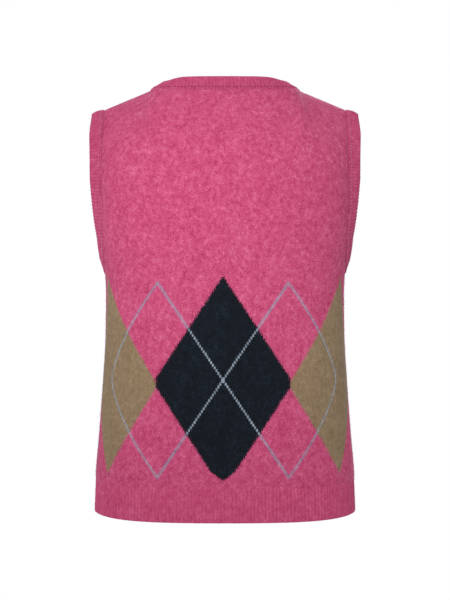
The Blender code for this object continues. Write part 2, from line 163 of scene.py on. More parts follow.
# %% Outer face of the cloth
UNDERARM = -0.244
WELT = -0.512
HEM = -0.555
SIDE_LIFT = 0.0040
LIFT_FROM = -0.400
LIFT_ROUND = 6
NECK_HALF = 0.098
NECK_BACK = 0.064
NECK_DROP = 0.007
NECK_ROUND = 2.6
RIDGE_Y = -0.003
SHOULDER_SLOPE = math.radians(22.5)
ROLL_BACK = 0.100
ROLL_FRONT = 0.070
ROLL_SHOULDER = 0.62
ROLL_NECK = 0.90
CORNER_SOFT = 0.070
SOFT_SHIFTS = np.linspace(-0.92, 0.92, 24)


def top_height(side, x):
    """Height of a panel's top edge: the shoulder line, less the dip of the back neck."""
    shoulder = -np.maximum(x - NECK_HALF, 0) * math.tan(SHOULDER_SLOPE)
    dip = NECK_DROP * (1 - np.clip(x / NECK_HALF, 0, 1) ** 3)
    return shoulder - dip if side > 0 else shoulder


def top_depth(side, x):
    """Y of a panel's top edge: the ridge, and behind also the curve of the back neck."""
    curve = (NECK_BACK - RIDGE_Y) * superellipse(x / NECK_HALF, NECK_ROUND)
    return RIDGE_Y + curve if side > 0 else RIDGE_Y + 0 * x


def skin_y(side, x, z):
    """Y of the outer face: from the top edge's y to the section's own, times a sine power.
    The neck's sharp corner is softened below the edge, as a mean over nearby x whose weights
    fall off evenly to both sides."""
    reach, depth, exponent = section(side, z)
    full = side * depth * superellipse(x / reach, exponent)
    below = (top_height(side, x) - z) / (ROLL_BACK if side > 0 else ROLL_FRONT)
    roll = np.sin(np.clip(below, 0, 1) * math.pi / 2)
    to_neck = 1 - np.clip(x / NECK_HALF, 0, 1) ** 4 if side > 0 else 0
    soft = CORNER_SOFT * np.clip(below, 0, 1)
    weights = 1 - np.abs(SOFT_SHIFTS)
    top = sum(weight * top_depth(side, np.abs(x + soft * shift))
              for weight, shift in zip(weights / weights.sum(), SOFT_SHIFTS))
    return top + (full - top) * roll ** (ROLL_SHOULDER + (ROLL_NECK - ROLL_SHOULDER) * to_neck)


print("depth of the back at the shoulder blades:", round(float(skin_y(1, 0.06, -0.15)), 4))

# %% [markdown]
# ## Rows and columns
# A panel is a grid. Its rows run from the centre to the armhole or the side seam. Above the
# underarm they bend to the shoulder, and at the hem they lift a little at the sides. Its
# columns share each row's length out evenly, so the cells stay nearly square. A grid was
# chosen over a cut and filled outline because it gives every point its place in the knitting.

# %% Grid rows
V_BREAK = -0.225
V_CURVE = 1.15
BAND = 0.0195
SHOULDER_HALF = 0.1587
SHOULDER_FADE = 0.015
ARMHOLE_BACK = 0.050
ARMHOLE_FRONT = 0.042
ARMHOLE_BOTTOM = 0.080
ARMHOLE_ROUND = 2.2
ROLL_END = -0.050
ROLL_ROWS = 18
CHEST_ROWS = 40
FLOOR_ROWS = 14
BODY_ROWS = 58
REPEATS = 6
SEAM_STEPS = (0.10, 0.35)


def eased(start, end, count, power):
    """Levels from start towards end, spaced as the power of an even share."""
    share = np.arange(count) / count
    return start + (end - start) * share ** power


def grid_levels():
    """Every row's level: fine where the shoulder rolls and where the armhole's floor is flat,
    and with two extra rows close to the top edge, where the cloth dips into its seam."""
    roll = eased(0.0, ROLL_END, ROLL_ROWS, 1 / ROLL_SHOULDER)
    first = ROLL_END * (np.array(SEAM_STEPS) / ROLL_ROWS) ** (1 / ROLL_SHOULDER)
    chest = eased(ROLL_END, V_BREAK, CHEST_ROWS, 1.0)
    floor = eased(UNDERARM, V_BREAK, FLOOR_ROWS + 1, ARMHOLE_ROUND)[:0:-1]
    body = np.linspace(UNDERARM, WELT, BODY_ROWS)
    return np.concatenate([roll[:1], first, roll[1:], chest, [V_BREAK], floor, body])


def row_height(side, x, level):
    """Height of a row at x: a share of the way from the underarm to the top edge, or below
    the underarm its own level, plus a lift that grows as a power of x near the hem."""
    rise = (level - UNDERARM) / -UNDERARM
    bent = UNDERARM + (top_height(side, x) - UNDERARM) * rise
    lift = SIDE_LIFT * np.clip((LIFT_FROM - level) / (LIFT_FROM - WELT), 0, 1)
    return np.where(level > UNDERARM, bent, level + lift * (x / TORSO[0, 1]) ** LIFT_ROUND)


def armhole_x(side, z):
    """Where a row ends at height z: the section's x at the armhole seam's distance from the
    side line, which grows from 0 at the underarm as a quarter of a superellipse."""
    reach, depth, exponent = section(side, z)
    rise = np.clip((z - UNDERARM) / ARMHOLE_BOTTOM, 0, 1)
    full = ARMHOLE_BACK if side > 0 else ARMHOLE_FRONT
    return reach * superellipse(full * superellipse(1 - rise, ARMHOLE_ROUND) / depth, exponent)


def row_ends(side, levels):
    """X of every row's end, found by repeating x = armhole_x(height at x)."""
    x = np.full(len(levels), SHOULDER_HALF)
    for _ in range(REPEATS):
        x = armhole_x(side, row_height(side, x, levels))
    near_top = np.clip(1 + levels / SHOULDER_FADE, 0, 1) ** 2
    return x + (SHOULDER_HALF - x) * near_top


def front_edge(levels):
    """X of a front's edge: straight up from the hem, then out along the V as a power curve."""
    share = np.maximum(levels - V_BREAK, 0) / -V_BREAK
    return BAND / 2 + (NECK_HALF - BAND / 2) * share ** V_CURVE


LEVELS = grid_levels()
FLOOR_ROW = int(np.flatnonzero(np.isclose(LEVELS, UNDERARM))[0])
V_ROW = int(np.flatnonzero(np.isclose(LEVELS, V_BREAK))[0])
print("rows:", len(LEVELS), "underarm row:", FLOOR_ROW, "V row:", V_ROW)

# %% [markdown]
# Near the underarm the rows grow longer at once, where the armhole's floor ends. If every
# column moved with its own row there, the cloth would look creased. So the inner columns
# follow the mean length of the rows nearby, and only the outermost ones take up the change.

# %% Grid columns
FINE = 400
NECK_FINE = 200
NEARBY = (-0.03, -0.02, -0.01, 0.0, 0.01, 0.02, 0.03)
OUTER_SHIFT = 4
NECK_SHARE = 2 / 3
NECK_FADE = 0.070
BACK_COLUMNS = 72
FRONT_COLUMNS = 56


def shares_of(columns, both_ends):
    """Even shares from 0 to 1, with two more close to 1, and also close to 0 if both_ends."""
    even = np.linspace(0, 1, columns + 1)
    close = np.array(SEAM_STEPS) / columns
    return np.unique(np.concatenate([even, 1 - close, close if both_ends else []]))


def row_lines(side, levels, starts):
    """Fine points along every row, from its start to its end, and their distances."""
    ease = np.sin(np.linspace(0, math.pi / 2, FINE))
    x = starts[:, None] + (row_ends(side, levels) - starts)[:, None] * ease
    if side > 0:
        to_corner = NECK_HALF * (1 - (1 - np.linspace(0, 1, NECK_FINE)) ** 3)
        corner = np.broadcast_to(to_corner, (len(levels), NECK_FINE))
        x = np.sort(np.concatenate([x, corner], axis=1), axis=1)
    z = row_height(side, x, levels[:, None])
    points = np.stack([x, skin_y(side, x, z), z], axis=2)
    steps = np.linalg.norm(np.diff(points, axis=1), axis=2)
    return points, np.pad(np.cumsum(steps, axis=1), ((0, 0), (1, 0)))


def grid_points(side, levels, starts, shares):
    """The grid of a half back or a front: every row read at its columns' distances."""
    points, distance = row_lines(side, levels, starts)
    near = [row_lines(side, np.minimum(levels + step, 0), starts)[1][:, -1] for step in NEARBY]
    mean = np.mean(near, axis=0)[:, None]
    own = distance[:, -1:]
    wanted = shares * mean + shares ** OUTER_SHIFT * (own - mean)
    if side > 0:
        at_neck = np.array([np.interp(NECK_HALF, p[:, 0], d) for p, d in zip(points, distance)])
        knots = np.stack([0 * at_neck, at_neck, own[:, 0]], axis=1)
        by_neck = np.array([np.interp(shares, (0, NECK_SHARE, 1), row) for row in knots])
        fade = smooth_share(1 + levels / NECK_FADE)[:, None]
        wanted = wanted + (by_neck - wanted) * fade
    rows = [np.stack([np.interp(w, d, p[:, k]) for k in range(3)], axis=1)
            for w, d, p in zip(wanted, distance, points)]
    return np.array(rows), wanted


BACK_SHARES = shares_of(BACK_COLUMNS, both_ends=False)
FRONT_SHARES = shares_of(FRONT_COLUMNS, both_ends=True)
half_back, half_back_arc = grid_points(1, LEVELS, 0 * LEVELS, BACK_SHARES)
half_front, half_front_arc = grid_points(-1, LEVELS, front_edge(LEVELS), FRONT_SHARES)
print("half back:", half_back.shape, "longest row:", round(float(half_back_arc.max()), 4))
print("half front:", half_front.shape, "longest row:", round(float(half_front_arc.max()), 4))

# %% [markdown]
# ## Stitches
# A knitted cloth is counted in wales across and courses up. The machine makes every stitch
# the same size, so the pattern is drawn in stitches and the cloth carries it. Each point's
# wale is its distance from the centre line along its row, and its course is its distance up
# the cloth at a constant x. That distance is worked out as height, plus what the cloth gains
# by leaning where the shoulder rolls over.

# %% Wales and courses
WALE = 0.0023
COURSE = 0.0017
CHART_CENTRE = -0.3765
LEAN_STEPS = 48


def lean_gain(side, grid):
    """Extra cloth above the underarm: the sum of hypot(1, slope) - 1 up to each point, where
    slope is how fast y changes with z at a constant x."""
    x = grid[..., 0]
    top = np.maximum(grid[..., 2], UNDERARM)
    share = np.sqrt(np.linspace(0, 1, LEAN_STEPS))[:, None, None]
    z = UNDERARM + (top - UNDERARM) * share
    y = skin_y(side, x[None], np.minimum(z, top_height(side, x)))
    return np.sum(np.hypot(np.diff(y, axis=0), np.diff(z, axis=0)) - np.diff(z, axis=0), axis=0)


def stitches(side, grid, arc, start):
    """The wale and the course of every point, as a grid of pairs."""
    wale = (start + arc) / WALE
    course = (grid[..., 2] - CHART_CENTRE + lean_gain(side, grid)) / COURSE
    return np.stack([wale, course], axis=2)


back_stitches = stitches(1, half_back, half_back_arc, 0.0)
front_start = front_edge(LEVELS)[:, None]
front_stitches = stitches(-1, half_front, half_front_arc, front_start)
print("courses up the back:", round(float(np.ptp(back_stitches[:, 0, 1]))))
print("wales across the back:", round(2 * float(back_stitches[..., 0].max())))

# %% [markdown]
# ## Creases
# The photograph shows smooth, well filled cloth. It has a soft rise down the middle of the
# back, short drag lines that run in from the armholes, and a little fullness above the hem
# rib. They are listed one by one. Each is a soft ridge along a short line on the cloth, and the
# hidden front has similar ones at the bust and below the armholes.

# %% Crease tables
CREASES = np.array((
    # side, x and z of one end, x and z of the other end, width, height
    (1, 0.000, -0.085, 0.002, -0.250, 0.0130, 0.0011),
    (1, 0.031, -0.110, 0.026, -0.215, 0.0120, -0.0006),
    (1, -0.030, -0.120, -0.026, -0.230, 0.0120, -0.0006),
    (1, 0.138, -0.171, 0.086, -0.168, 0.0036, 0.0006),
    (1, 0.138, -0.179, 0.092, -0.178, 0.0034, 0.0006),
    (1, 0.136, -0.216, 0.098, -0.208, 0.0050, 0.0007),
    (1, -0.137, -0.206, -0.094, -0.196, 0.0060, 0.0008),
    (1, -0.136, -0.156, -0.104, -0.153, 0.0045, 0.0005),
    (1, 0.146, -0.262, 0.118, -0.300, 0.0090, -0.0010),
    (1, -0.146, -0.262, -0.116, -0.306, 0.0100, -0.0011),
    (1, 0.120, -0.430, 0.128, -0.500, 0.0100, 0.0008),
    (1, -0.060, -0.452, -0.052, -0.503, 0.0110, 0.0006),
    (1, 0.040, -0.462, 0.046, -0.503, 0.0120, 0.0006),
    (-1, 0.132, -0.205, 0.092, -0.232, 0.0080, 0.0012),
    (-1, -0.130, -0.208, -0.090, -0.240, 0.0090, 0.0013),
    (-1, 0.140, -0.262, 0.104, -0.318, 0.0100, -0.0012),
    (-1, -0.141, -0.260, -0.108, -0.306, 0.0090, -0.0011),
    (-1, 0.036, -0.240, 0.062, -0.262, 0.0060, 0.0008),
    (-1, -0.034, -0.242, -0.060, -0.270, 0.0065, 0.0009),
    (-1, 0.110, -0.440, 0.119, -0.502, 0.0110, 0.0008),
    (-1, -0.072, -0.448, -0.066, -0.503, 0.0110, 0.0008),
))
WELT_FULLNESS = 0.0010
WELT_REACH = 0.016
EDGE_CALM = 0.012
TAPER = 1.25


def crease_height(side, grid, to_edge):
    """Sum of the ridges: height times a bell curve of the distance to the ridge's line, times
    a taper at its ends. Fullness above the hem rib is added. All fade out at the seams."""
    total = np.zeros(grid.shape[:2])
    for _, x1, z1, x2, z2, width, height in CREASES[CREASES[:, 0] == side]:
        start = np.array((x1, z1))
        line = np.array((x2, z2)) - start
        place = (grid[..., [0, 2]] - start) @ line / (line @ line)
        nearest = start + np.clip(place, 0, 1)[..., None] * line
        away = np.linalg.norm(grid[..., [0, 2]] - nearest, axis=2)
        beyond = np.abs(place - 0.5) * 2
        total += height * np.exp(-(away / width) ** 2) * smooth_share(TAPER - beyond)
    up = grid[..., 2] - WELT
    full = WELT_FULLNESS * up / WELT_REACH * np.exp(1 - up / WELT_REACH)
    return (total + full) * smooth_share(to_edge / EDGE_CALM)


print("creases behind and in front:", [int(np.sum(CREASES[:, 0] == s)) for s in (1, -1)])

# %% [markdown]
# ## Walls of cloth
# The knitted cloth is 2.4 mm thick. Solidify could thicken an open sheet, but then both faces
# of a seam would be hard to control. Here the outer points are moved in along their normals
# to give the inner points, and each row goes once round: out along the outer face and back
# along the inner one. The same builder makes the bands, whose rows go round their section.

# %% Mesh from a grid
SHARP_CLOTH = math.radians(55)


def mesh_object(name, points, faces, corner_uv=None):
    """A mesh object from points and faces, with a UV pair for every corner in turn."""
    mesh = bpy.data.meshes.new(name)
    mesh.from_pydata(points.tolist(), [], faces)
    if corner_uv is not None:
        layer = mesh.uv_layers.new(name="stitches")
        layer.data.foreach_set("uv", corner_uv.astype(np.float32).ravel())
    return linked(name, mesh)


def loop_quads(rows, columns, ring):
    """Corners of the quads between rows whose points go round a loop, as row and column
    numbers. The last row joins the first one on a ring."""
    r, c = np.meshgrid(np.arange(rows if ring else rows - 1), np.arange(columns), indexing="ij")
    corner_rows = np.stack([r, r + 1, r + 1, r], axis=2).reshape(-1, 4)
    corner_columns = np.stack([c, c, c + 1, c + 1], axis=2).reshape(-1, 4)
    return corner_rows, corner_columns


def end_quads(row, columns):
    """Corners that close one end: each outer point is joined to the inner one under it."""
    k = np.arange(columns // 2 - 1)
    corner_columns = np.stack([k, k + 1, columns - 2 - k, columns - 1 - k], axis=1)
    return np.full_like(corner_columns, row), corner_columns


def signed_volume(points, quads):
    """Volume inside the quads, negative where they face inwards: a sixth of the sum of
    a . (b x c) over both triangles of each quad."""
    a, b, c, d = (points[quads[:, k]] for k in range(4))
    return np.sum(a * (np.cross(b, c) + np.cross(c, d))) / 6


def knit_mesh(name, rounds, uv, ring):
    """A closed wall from rows that each go once round it, with its stitches as a UV map. The
    UV grid has one column more than the points, and on a ring one row more, so that its
    numbers run on where the points close."""
    rows, columns = rounds.shape[:2]
    corner_rows, corner_columns = loop_quads(rows, columns, ring)
    if not ring:
        ends = [end_quads(0, columns), end_quads(rows - 1, columns)]
        corner_rows = np.concatenate([corner_rows, ends[0][0], ends[1][0][:, ::-1]])
        corner_columns = np.concatenate([corner_columns, ends[0][1], ends[1][1][:, ::-1]])
    quads = (corner_rows % rows) * columns + corner_columns % columns
    points = rounds.reshape(-1, 3)
    corner_uv = uv[corner_rows, corner_columns]
    if signed_volume(points, quads) < 0:
        quads = quads[:, ::-1]
        corner_uv = corner_uv[:, ::-1]
    piece = mesh_object(name, points, quads.tolist(), corner_uv)
    piece.data.shade_smooth()
    piece.data.set_sharp_from_angle(angle=SHARP_CLOTH)
    return piece


# %% [markdown]
# Each panel needs its normals for the wall. Where two panels meet they share one: along the
# shoulder ridge it is square to the slope, and at the side seams it points straight out to the
# side. Near every seam the outer face dips a little, because the linking thread pulls it in.

# %% Panel walls
CLOTH = 0.0024
SEAM_TUCK = 0.0002
SEAM_DIP = 0.0006
SEAM_SOFT = 0.0009
SLOPE_STEP = 0.0007
SLOPE_REACH = 0.030


def unit(vectors):
    """Vectors divided by their lengths."""
    return vectors / np.linalg.norm(vectors, axis=-1, keepdims=True)


def squared(normals, across):
    """Normals turned square to another unit direction: n - (n . a) a, made unit again."""
    return unit(normals - np.sum(normals * across, axis=-1, keepdims=True) * across)


def along(points):
    """Distance of each point from the first one, along the line of points."""
    steps = np.linalg.norm(np.diff(points, axis=0), axis=1)
    return np.concatenate([[0.0], np.cumsum(steps)])


def slope_normals(grid):
    """Normals of the back from its formula y = f(x, z): (-df/dx, 1, -df/dz), read a little
    below the top edge, where the roll of the shoulder would make the slope endless."""
    x = np.abs(grid[..., 0])
    z = np.minimum(grid[..., 2], top_height(1, x) - 2 * SLOPE_STEP)
    by_x = skin_y(1, x + SLOPE_STEP, z) - skin_y(1, x - SLOPE_STEP, z)
    by_z = skin_y(1, x, z + SLOPE_STEP) - skin_y(1, x, z - SLOPE_STEP)
    return unit(np.stack([-by_x * np.sign(grid[..., 0]), 2 * SLOPE_STEP + 0 * x, -by_z], axis=2))


def normals_of(grid, side):
    """Unit cross products of the grid's two directions, turned to face out of the garment.
    Near the back's top edge the rows crowd together, so the slopes take over there."""
    down = np.gradient(grid, axis=0, edge_order=2)
    across = np.gradient(grid, axis=1, edge_order=2)
    normals = unit(np.cross(down, across))
    normals = normals * np.sign(np.sum(normals[..., 1]) * side)
    if side > 0:
        below = top_height(1, np.abs(grid[..., 0])) - grid[..., 2]
        share = smooth_share((SLOPE_REACH - below) / SLOPE_REACH * 2)[..., None]
        normals = unit(normals + (slope_normals(grid) - normals) * share)
    return normals


def seam_normals(grid, normals, seam_columns):
    """The normals that two panels share, at the shoulder ridge and at the side seams."""
    ridge = np.abs(grid[0, :, 0]) > NECK_HALF - SEAM_TUCK
    way = np.sign(grid[0, ridge, 0])
    slope = (math.sin(SHOULDER_SLOPE), math.cos(SHOULDER_SLOPE))
    normals[0, ridge] = np.stack([way * slope[0], 0 * way, slope[1] + 0 * way], axis=1)
    for column in seam_columns:
        normals[FLOOR_ROW:, column] = (np.sign(grid[FLOOR_ROW, column, 0]), 0, 0)
    return normals


def seam_distance(grid):
    """Distance of every point from the nearest seam of its panel, along rows and columns.
    The hem rib is knitted on with no seam, so the bottom row doesn't count."""
    rows = np.array([along(row) for row in grid])
    columns = np.array([along(column) for column in grid.swapaxes(0, 1)]).T
    return np.minimum(np.minimum(rows, rows[:, -1:] - rows), columns)


def panel_rounds(side, grid, normals):
    """Rows that go round a panel's wall: the creased, dipped outer face, then the inner one."""
    to_seam = seam_distance(grid)
    height = crease_height(side, grid, to_seam) - SEAM_DIP * np.exp(-(to_seam / SEAM_SOFT) ** 2)
    outer = grid + normals * height[..., None]
    inner = grid + normals * (crease_height(side, grid, to_seam) - CLOTH)[..., None]
    return np.concatenate([outer, inner[:, ::-1]], axis=1)


def round_uv(uv):
    """The same stitches on both faces: out along the row, back, and to the start again."""
    return np.concatenate([uv, uv[:, ::-1], uv[:, :1]], axis=1)


def mirrored(half):
    """A whole row from its half: the half at -X reversed, then the half at +X."""
    flip = np.ones(half.shape[-1])
    flip[0] = -1
    return np.concatenate([half[:, :0:-1] * flip, half], axis=1)


back_grid = mirrored(half_back)
back_normals = seam_normals(back_grid, normals_of(back_grid, 1), (0, -1))
back_uv = mirrored(back_stitches)
panels = {"back_panel": (back_grid, back_normals, back_uv, 1)}
for word, way in (("left", 1), ("right", -1)):
    grid = half_front * (way, 1, 1)
    normals = seam_normals(grid, normals_of(grid, -1), (-1,))
    normals[V_ROW:, 0, 0] = 0
    normals[V_ROW:, 0] = unit(normals[V_ROW:, 0])
    uv = front_stitches * (way, 1)
    panels[f"{word}_front"] = (grid, normals, uv, -1)

knit_pieces = {}
for node, (grid, normals, uv, side) in panels.items():
    piece = knit_mesh(f"{node}_knit", panel_rounds(side, grid, normals), round_uv(uv), ring=False)
    knit_pieces[node] = piece
    print(piece.name, "faces:", len(piece.data.polygons))

# %% [markdown]
# ## Ribbed bands
# The neck, the front edges and the armholes have 1x1 ribbed bands, picked up along the edges
# of the panels. In such a rib each knit wale stands up and each purl wale sinks, 4.6 mm from
# one knit wale to the next. A band is a section carried along a seam. The section starts
# below the seam, rises over the rounded linking, runs across, turns round the free edge and
# comes back inside. The rib wave is a cosine along the seam, so it needs no separate ribs.

# %% Band section
RIB_PITCH = 0.0046
RIB_WAVE = 0.00042
RIB_SAMPLES = 6
CURL_FROM = 0.28
LEAST_CURL = 0.001
EDGE_TURN = np.radians((72, 30, -30, -72))
SECTION_COLUMNS = ("fixed", "share", "height", "rib")
HEIGHT, RIB = (SECTION_COLUMNS.index(name) for name in ("height", "rib"))
SECTION_OUT = np.array((
    (-0.0002, 0.00, -0.00075, 0.0),
    (0.0005, 0.00, -0.00025, 0.3),
    (0.0012, 0.00, -0.00004, 0.8),
    (0.0030, 0.00, 0.00000, 1.0),
    (0.0010, 0.36, 0.00000, 1.0),
    (0.0000, 0.64, 0.00000, 1.0),
    (-0.0022, 1.00, 0.00000, 1.0),
))


def band_section(seamless):
    """The section as four columns: a fixed distance and a share of the width, which add up to
    the place across the band, the height, and how much of the rib wave applies there."""
    out = SECTION_OUT.copy()
    if seamless:
        out[:, HEIGHT] = 0
    half = CLOTH / 2
    turn = np.stack([
        -half + half * np.cos(EDGE_TURN),
        np.ones(len(EDGE_TURN)),
        -half + half * np.sin(EDGE_TURN),
        np.clip(np.sin(EDGE_TURN), 0, 1),
    ], axis=1)
    back = SECTION_OUT[::-1].copy()
    back[:, HEIGHT] = -CLOTH
    back[:, RIB] = 0
    return np.concatenate([out, turn, back])


def carry_section(seam, across, away, width, distance, ring, curl=0.0, seamless=False):
    """A band: at every station, seam + across * s + away * h, for each point (s, h) of the
    section. The rib wave adds a cosine of the distance along the seam to h. Curl bends the
    outer part of the section round a circle whose curvature is given."""
    fixed, share, height, rib = band_section(seamless).T
    ribs = (len(distance) - 1) // RIB_SAMPLES
    wave = np.cos(2 * math.pi * ribs * distance / distance[-1])
    s = fixed + share * np.broadcast_to(width, distance.shape)[:, None]
    h = height + rib * RIB_WAVE * wave[:, None]
    bend = np.maximum(np.broadcast_to(curl, distance.shape), LEAST_CURL)[:, None]
    start = s.max(axis=1, keepdims=True) * CURL_FROM
    angle = np.maximum(s - start, 0) * bend
    bent = s > start
    s = np.where(bent, start + (1 / bend + h) * np.sin(angle), s)
    h = np.where(bent, (1 / bend + h) * np.cos(angle) - 1 / bend, h)
    rounds = seam[:, None] + across[:, None] * s[..., None] + away[:, None] * h[..., None]
    courses = np.append(fixed + share * BAND, 0) / COURSE
    wales = distance / distance[-1] * 2 * ribs
    uv = np.stack(np.broadcast_arrays(wales[:, None], courses), axis=2)
    if ring:
        rounds = rounds[:-1]
    return rounds, uv


print("points round a band's section:", len(band_section(False)))

# %% [markdown]
# Every band follows an edge of the panels. For each point of the edge the band needs the way
# out of the panel, which is the cross product of the edge's direction and the cloth's normal,
# and how far the band leans outwards. The two front bands lean apart by one thickness of cloth
# below the V, so that the right one lies on the left one.

# %% Edges of the panels
FLARE = 0.30
ARMHOLE_FLARE = np.array((
    # height, lean
    (-0.244, 0.30),
    (-0.200, 0.24),
    (-0.160, 0.38),
    (-0.120, 0.66),
    (-0.058, 0.66),
    (-0.026, 0.28),
))
LAP = CLOTH + 0.0010
LAP_ENDS = (-0.185, -0.060)
NECK_LEAN = 0.13
SHOULDER_LEAN = 0.06
SHOULDER_HEIGHTS = (-0.030, 0.0)
NECK_WIDTHS = (0.045, 0.098)
SQUARE_REACH = 0.086
CALM_REACH = 0.006
CALM_SAMPLES = 5


def rib_places(length):
    """Distances along a seam at six a rib, with whole ribs in its length."""
    count = max(round(length / RIB_PITCH), 1) * RIB_SAMPLES
    return np.linspace(0, length, count + 1)


def read_at(values, distances, wanted):
    """Rows of values read at the wanted distances, by straight interpolation."""
    return np.stack([np.interp(wanted, distances, column) for column in values.T], axis=1)


def calmed(values, distances, ring):
    """Unit vectors averaged over the edge nearby, so that no band kinks at a single point."""
    total = 0
    length = distances[-1]
    for shift in np.linspace(-CALM_REACH, CALM_REACH, CALM_SAMPLES):
        place = distances + shift
        place = place % length if ring else np.clip(place, 0, length)
        total = total + read_at(values, distances, place)
    return unit(total)


class PanelEdge:
    """A line of seam points, with the cloth's normal and the way out of the panel at each."""

    def __init__(self, points, normals, inside, ring=False):
        if ring:
            points = np.concatenate([points, points[:1]])
            normals = np.concatenate([normals, normals[:1]])
        steps = np.diff(points, axis=0)
        before = np.concatenate([steps[-1:] if ring else steps[:1], steps])
        after = np.concatenate([steps, steps[:1] if ring else steps[-1:]])
        outward = unit(np.cross(unit(unit(before) + unit(after)), normals))
        if np.sum(outward * (points - inside)) < 0:
            outward = -outward
        self.ring = ring
        self.points = points
        self.distance = along(points)
        self.normals = calmed(normals, self.distance, ring)
        self.outward = calmed(outward, self.distance, ring)

    def square_end(self, way, at_start):
        """Turn the end at the high shoulder point square to the shoulder seam."""
        gone = self.distance if at_start else self.distance[-1] - self.distance
        share = smooth_share(1 - gone / SQUARE_REACH)[:, None]
        square = np.array([-way * math.cos(SHOULDER_SLOPE), 0, math.sin(SHOULDER_SLOPE)])
        over = np.array([way * math.sin(SHOULDER_SLOPE), 0, math.cos(SHOULDER_SLOPE)])
        self.outward = unit(self.outward + (square - self.outward) * share)
        self.normals = unit(self.normals + (over - self.normals) * share)
        return self

    def stations(self, lean):
        """Seam points, directions across and away, and distances, at six a rib."""
        wanted = rib_places(self.distance[-1])
        points, normals, outward = (read_at(values, self.distance, wanted)
                                    for values in (self.points, self.normals, self.outward))
        normals, outward = unit(normals), unit(outward)
        across = unit(outward + lean(points)[:, None] * normals)
        return points, across, squared(normals, across), wanted


def neck_edge():
    """The back panel's top edge between the two high shoulder points."""
    at_neck = np.abs(back_grid[0, :, 0]) <= NECK_HALF + SEAM_TUCK
    edge = PanelEdge(back_grid[0, at_neck], back_normals[0, at_neck], np.array([0, 0, HEM]))
    return edge.square_end(-1, at_start=True).square_end(1, at_start=False)


def armhole_edge(way, front):
    """The ring round one armhole: down the back's edge, and up the front's."""
    column = -1 if way > 0 else 0
    grid, normals = panels[front][:2]
    behind = back_grid[:FLOOR_ROW + 1, column]
    ahead = grid[FLOOR_ROW::-1, -1]
    top = (behind[:1] + ahead[-1:]) / 2
    floor = (behind[-1:] + ahead[:1]) / 2
    points = np.concatenate([top, behind[1:-1], floor, ahead[1:-1]])
    ring_normals = np.concatenate([back_normals[:FLOOR_ROW + 1, column],
                                   normals[FLOOR_ROW - 1:0:-1, -1]])
    return PanelEdge(points, ring_normals, np.array([0, 0, 2 * UNDERARM]), ring=True)


def front_opening(way, front):
    """A front's whole edge, from the high shoulder point down to the hem."""
    grid, normals = panels[front][:2]
    foot_x = np.array([front_edge(HEM)])
    foot_z = row_height(-1, foot_x, np.array([HEM]))
    foot = np.stack([foot_x * way, skin_y(-1, foot_x, foot_z), foot_z], axis=1)
    points = np.concatenate([grid[:, 0], foot])
    edge_normals = np.concatenate([normals[:, 0], normals[-1:, 0]])
    edge = PanelEdge(points, edge_normals, np.array([way, 0, HEM]))
    return edge.square_end(way, at_start=True)


edges = {"back_neck_band": neck_edge()}
for word, way in (("left", 1), ("right", -1)):
    edges[f"{word}_armhole_band"] = armhole_edge(way, f"{word}_front")
    edges[f"{word}_front_band"] = front_opening(way, f"{word}_front")
for node, edge in edges.items():
    print(node, "seam length:", round(float(edge.distance[-1]), 4))

# %% [markdown]
# At the shoulders the armhole bands curl: a knitted edge with nothing in it turns under a
# little, and the photograph shows that round corner at both shoulder ends. Lower down the
# bands stay nearly flat.

# %% Bands round the neck, fronts and armholes
CURL_SHOULDER = 52.0
CURL_ARM = 14.0
CURL_HEIGHTS = (-0.058, -0.024)


def lean_of(node):
    """The lean of each band, as a function of its seam points."""
    if node == "back_neck_band":
        ends = (NECK_LEAN, SHOULDER_LEAN)
        return lambda points: np.interp(np.abs(points[:, 0]), NECK_WIDTHS, ends)
    heights, leans = ARMHOLE_FLARE.T
    if node.endswith("front_band"):
        lapped = -LAP / BAND if node.startswith("left") else LAP / BAND
        heights = (*LAP_ENDS, *SHOULDER_HEIGHTS)
        leans = (lapped, FLARE, FLARE, SHOULDER_LEAN)
    return lambda points: np.interp(points[:, 2], heights, leans)


bands = {}


def knit_band(node, rounds, uv, away, ring):
    """Make one ribbed piece, and keep its grid for its fibres and its flat size."""
    piece = knit_mesh(f"{node}_knit", rounds, uv, ring)
    knit_pieces[node] = piece
    bands[node] = (rounds, uv, away)
    print(piece.name, "stations:", len(rounds), "faces:", len(piece.data.polygons))


for node, edge in edges.items():
    seam, across, away, distance = edge.stations(lean_of(node))
    curl = 0.0
    if node.endswith("armhole_band"):
        low, high = CURL_HEIGHTS
        rise = smooth_share((seam[:, 2] - low) / (high - low))
        curl = CURL_ARM + (CURL_SHOULDER - CURL_ARM) * rise
    rounds, uv = carry_section(seam, across, away, BAND, distance, edge.ring, curl)
    knit_band(node, rounds, uv, away, edge.ring)

# %% [markdown]
# ## Hem ribs
# The hem is a deeper rib, 43 mm, knitted in one with the panel. The photograph shows no seam
# between them, only fine wales that grow out of the plain cloth. So a hem rib starts exactly
# on its panel's last row, its wave fades in below that, and its free edge is the row of the
# garment's form at the hem, lifted a little at the sides.

# %% Hem pieces
def hem_rounds(side, start, shares, grid, normals, way):
    """The hem's section carried along the panel's last row, down to the hem row."""
    top = grid[-1]
    bottom = grid_points(side, np.array([HEM]), np.array([start]), shares)[0] * (way, 1, 1)
    bottom = (mirrored(bottom) if side > 0 else bottom)[0]
    distance = along(top)
    wanted = rib_places(distance[-1])
    seam, foot, normal = (read_at(values, distance, wanted)
                          for values in (top, bottom, normals[-1]))
    normal = unit(normal)
    across = unit(foot - seam)
    away = squared(normal, across)
    width = np.linalg.norm(foot - seam, axis=1)
    rounds, uv = carry_section(seam, across, away, width, wanted, ring=False, seamless=True)
    return rounds, uv, away


